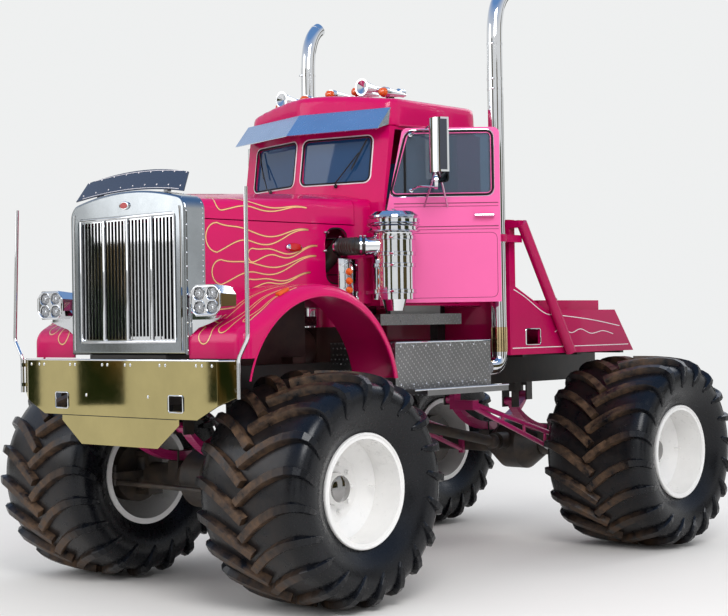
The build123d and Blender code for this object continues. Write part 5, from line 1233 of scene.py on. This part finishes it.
piping = bmesh.new()
for name, low, high, front, rise in seatShape["pads"]:
    low, high = Vector(low), Vector(high)
    middle = (low + high) / 2
    size = high - low - Vector((1, 1, 1)) * (2 * seatShape["shrink"])
    depth, length = abs(size.dot(front)), size.dot(rise)
    bm = bmesh.new()
    addSlab(bm, middle, size, seatShape["edge"])
    bmesh.ops.subdivide_edges(bm, edges=bm.edges, cuts=4, use_grid_fill=True)
    padMesh = swell(bm, name)
    for vert in padMesh.vertices:
        for k in seatShape["channels"]:
            near = abs(vert.co.x - middle.x - k)
            if near < seatShape["channelHalf"] and (vert.co - middle).dot(front) > depth * 0.25:
                vert.co -= front * (seatShape["channel"] * (1 - near / seatShape["channelHalf"]))
    refine = bmesh.new()
    refine.from_mesh(padMesh)
    bmesh.ops.recalc_face_normals(refine, faces=refine.faces)
    refine.to_mesh(padMesh)
    refine.free()
    surface = BVHTree.FromPolygons([v.co for v in padMesh.vertices], [p.vertices[:] for p in padMesh.polygons])
    starts = roundedLoop(middle + front * 0.6, across, rise, size.x - 0.035, length - 0.035, 0.05, 6)
    seam = [spot for spot, _ in hitsOn(surface, starts, -front)]
    for hand, side in sides:
        mesh = padMesh.copy() if hand > 0 else flipped(padMesh)
        stands = ("seats",) if hand > 0 and name == "cushion" else ()
        piece = addPiece("seat_" + name + "_" + side, mesh, leather, replaced=stands, sharp=80)
        smoother = piece.modifiers.new("smooth", "SUBSURF")
        smoother.levels = 1
        smoother.render_levels = 1
        addTube(piping, [(hand * spot.x, spot.y, spot.z) for spot in seam], 0.005, closed=True)
addPiece("seat_piping", piping, interior)
print("seats ready")

# Inside: door cards with armrests, a gear lever and gauges
cabinTrim = {
    "lever": [(0.0, -0.38, 2.13), (0.01, -0.36, 2.45), (0.05, -0.30, 2.74)], "boot": (0.0, -0.38, 2.135),
    "knob": (0.05, -0.30, 2.735), "knobAxis": (0.17, 0.2, 1), "gauges": (0.26, 0.37, 0.48, 0.58, -0.12, 0.02),
}
for hand, side in sides:
    bm = bmesh.new()
    for centre, size, edge in doorTrim["card"]:
        addSlab(bm, swung(centre, hand), size, edge, doorTurn[hand])
    addPiece("door_card_" + side, bm, interior, body="door_" + side)
bm = bmesh.new()
addTube(bm, smoothRun(cabinTrim["lever"], 8), 0.010)
addRing(bm, cabinTrim["boot"], upward, 0.045, 0.014, 20, 8)
addDome(bm, cabinTrim["knob"], cabinTrim["knobAxis"], 0.026, 0.042, 16)
addPiece("gear_lever", bm, interior)
bm = bmesh.new()
for spot, normal in hitsOn(surfaceOf("dashboard"), [(x, 0.3, 2.84) for x in cabinTrim["gauges"]], forward):
    if spot.y < -0.45:
        addRing(bm, spot, normal, 0.036, 0.005, 24, 6)
        addDome(bm, spot, normal, 0.034, 0.003, 20)
addPiece("gauges", bm, chrome)

# Engine bay: covers with bolts on the block, manifold runners down its sides and hoses to the core
engineTrim = {
    "covers": (-0.14, 0.14), "cover": (0.17, 0.86, 0.060), "bolts": (-1.95, -1.65, -1.35), "runnerRadius": 0.019,
    # out, back, up from the block's side
    "runner": [(-0.01, 0, 0), (0.045, 0, 0), (0.055, 0.02, -0.075), (0.055, 0.05, -0.15)],
    # share of x, y, drop
    "hoses": ((-0.24, 2.46), (0.24, 2.02)), "hose": [(1.0, -2.487, 0.0), (1.0, -2.44, 0.0), (0.9, -2.40, 0.02),
                                                    (0.8, -2.34, 0.05)], "hoseRadius": 0.032,
}
engineSurface = surfaceOf("engine")
bm, runners = emptyForms(2)
for spot, _ in hitsOn(engineSurface, [(x, -1.65, above) for x in engineTrim["covers"]], downward):
    addSlab(bm, spot + upward * 0.020, engineTrim["cover"], 0.016)
    for y in engineTrim["bolts"]:
        addDome(bm, (spot.x, y, spot.z + 0.050), upward, 0.014, 0.014, 10)
for hand, _ in sides:
    starts = [(hand * 1.2, y, 2.30) for y in evenly(-1.98, -1.32, 6)]
    for spot, _ in hitsOn(engineSurface, starts, (-hand, 0, 0)):
        path = [spot + Vector((hand * out, rear, up)) for out, rear, up in engineTrim["runner"]]
        addTube(runners, smoothRun(path, 4), engineTrim["runnerRadius"])
addPiece("rocker_covers", bm, chrome)
addPiece("engine_runners", runners, castIron)
bm = bmesh.new()
for x, z in engineTrim["hoses"]:
    path = [(x * share, y, z - drop) for share, y, drop in engineTrim["hose"]]
    addTube(bm, smoothRun(path, 6), engineTrim["hoseRadius"], 16)
addPiece("coolant_hoses", bm, hoseRubber)
print("inside ready")

# Studio: pale floor that fades into the ground's colour
studio = {
    "ground": (0.86, 0.87, 0.87, 1.0), "sky": (0.16, 0.33, 0.66, 1.0), "fill": (0.74, 0.76, 0.80, 1.0),
    "fadeFrom": 4.5, "fadeTo": 13.0, "floorSize": 150.0, "skyFrom": 0.22, "skyTo": 0.75, "aim": (0, -0.5, 1.8),
    # name, place, size, power
    "lamps": [("keyLamp", (8.5, -7.0, 9.0), 5.0, 820.0), ("fillLamp", (-6.0, -10.0, 6.0), 6.0, 220.0),
              ("backLamp", (1.0, 10.0, 9.0), 6.0, 330.0)],
    # turn, width, height
    "cards": [(-88, 7.0, 9.0), (-62, 4.0, 7.0), (-22, 6.0, 8.0), (12, 9.0, 6.0), (48, 6.0, 9.0), (96, 9.0, 7.0),
              (150, 8.0, 8.0), (200, 8.0, 7.0), (217.5, 1.6, 3.6), (222.5, 1.0, 4.5), (229.5, 1.3, 3.0),
              (236.0, 2.6, 5.0)],
    "cardDistance": 24.0, "cardFoot": 0.3,
}


def lookedAt(tree):
    # camera, mirror and glass rays, which see the pale ground
    path = tree.nodes.new("ShaderNodeLightPath").outputs
    seen = mathNode(tree, "ADD", path["Is Camera Ray"], path["Is Glossy Ray"], True)
    return mathNode(tree, "ADD", seen, path["Is Transmission Ray"], True)


def addStage(name, bm, material):
    item = bpy.data.objects.new(name, meshOf(bm, name))
    item.data.materials.append(material)
    scene.collection.objects.link(item)
    return item


floorMaterial = finish("paleFloor", (0.84, 0.82, 0.79), 0.85, dark=0.985, scale=0.6, specular=0.2)
tree = floorMaterial.node_tree
away = addNode(tree, "ShaderNodeVectorMath", operation="LENGTH")
tree.links.new(objectPlace(tree), away.inputs[0])
fade = ramp(tree, away.outputs["Value"], studio["fadeFrom"], studio["fadeTo"], kind="SMOOTHSTEP")
glow = addNode(tree, "ShaderNodeEmission", Color=studio["ground"])
blend = tree.nodes.new("ShaderNodeMixShader")
plug(tree, blend.inputs[0], mathNode(tree, "MULTIPLY", fade, lookedAt(tree)))
tree.links.new(tree.nodes["Principled BSDF"].outputs[0], blend.inputs[1])
tree.links.new(glow.outputs[0], blend.inputs[2])
tree.links.new(blend.outputs[0], tree.nodes["Material Output"].inputs[0])
bm = bmesh.new()
bmesh.ops.create_grid(bm, x_segments=1, y_segments=1, size=studio["floorSize"])
addStage("studioFloor", bm, floorMaterial)

world = bpy.data.worlds.new("studioSky")
scene.world = world
world.use_nodes = True
tree = world.node_tree
sky = tree.nodes["Background"].inputs
skyWay = tree.nodes.new("ShaderNodeTexCoord").outputs["Generated"]
climb = addNode(tree, "ShaderNodeSeparateXYZ", Vector=skyWay).outputs[2]
seen = mixColour(tree, ramp(tree, climb, studio["skyFrom"], studio["skyTo"]), studio["ground"], studio["sky"])
tree.links.new(mixColour(tree, lookedAt(tree), studio["fill"], seen), sky["Color"])
sky["Strength"].default_value = 1.0

# Dark cards out of sight, so that bright metal has something to mirror
cardMaterial = finish("studioCard", (0.03, 0.04, 0.02), 0.9, specular=0.1)
tree = cardMaterial.node_tree
warm = steep(tree, noise(tree, 0.55, 4.0), 0.45, 5.0)
mixed = mixColour(tree, warm, (0.02, 0.035, 0.012, 1.0), (0.20, 0.13, 0.05, 1.0))
tree.links.new(mixed, shaderOf(tree)["Base Color"])
bm = bmesh.new()
for turn, wide, tall in studio["cards"]:
    around = Matrix.Rotation(radians(turn), 4, "Z")
    spot = around @ Vector((studio["cardDistance"], 0, tall / 2 + studio["cardFoot"]))
    addSlab(bm, spot, (0.05, wide, tall), 0.01, around)
cards = addStage("studioCards", bm, cardMaterial)
cards.visible_camera = False
cards.visible_diffuse = False
cards.visible_shadow = False

for name, where, size, power in studio["lamps"]:
    data = bpy.data.lights.new(name, "AREA")
    data.shape = "SQUARE"
    data.size = size
    data.energy = power
    lamp = bpy.data.objects.new(name, data)
    towards = Vector(studio["aim"]) - Vector(where)
    lamp.matrix_world = Matrix.Translation(where) @ towards.to_track_quat("-Z", "Y").to_matrix().to_4x4()
    scene.collection.objects.link(lamp)
print("studio ready")
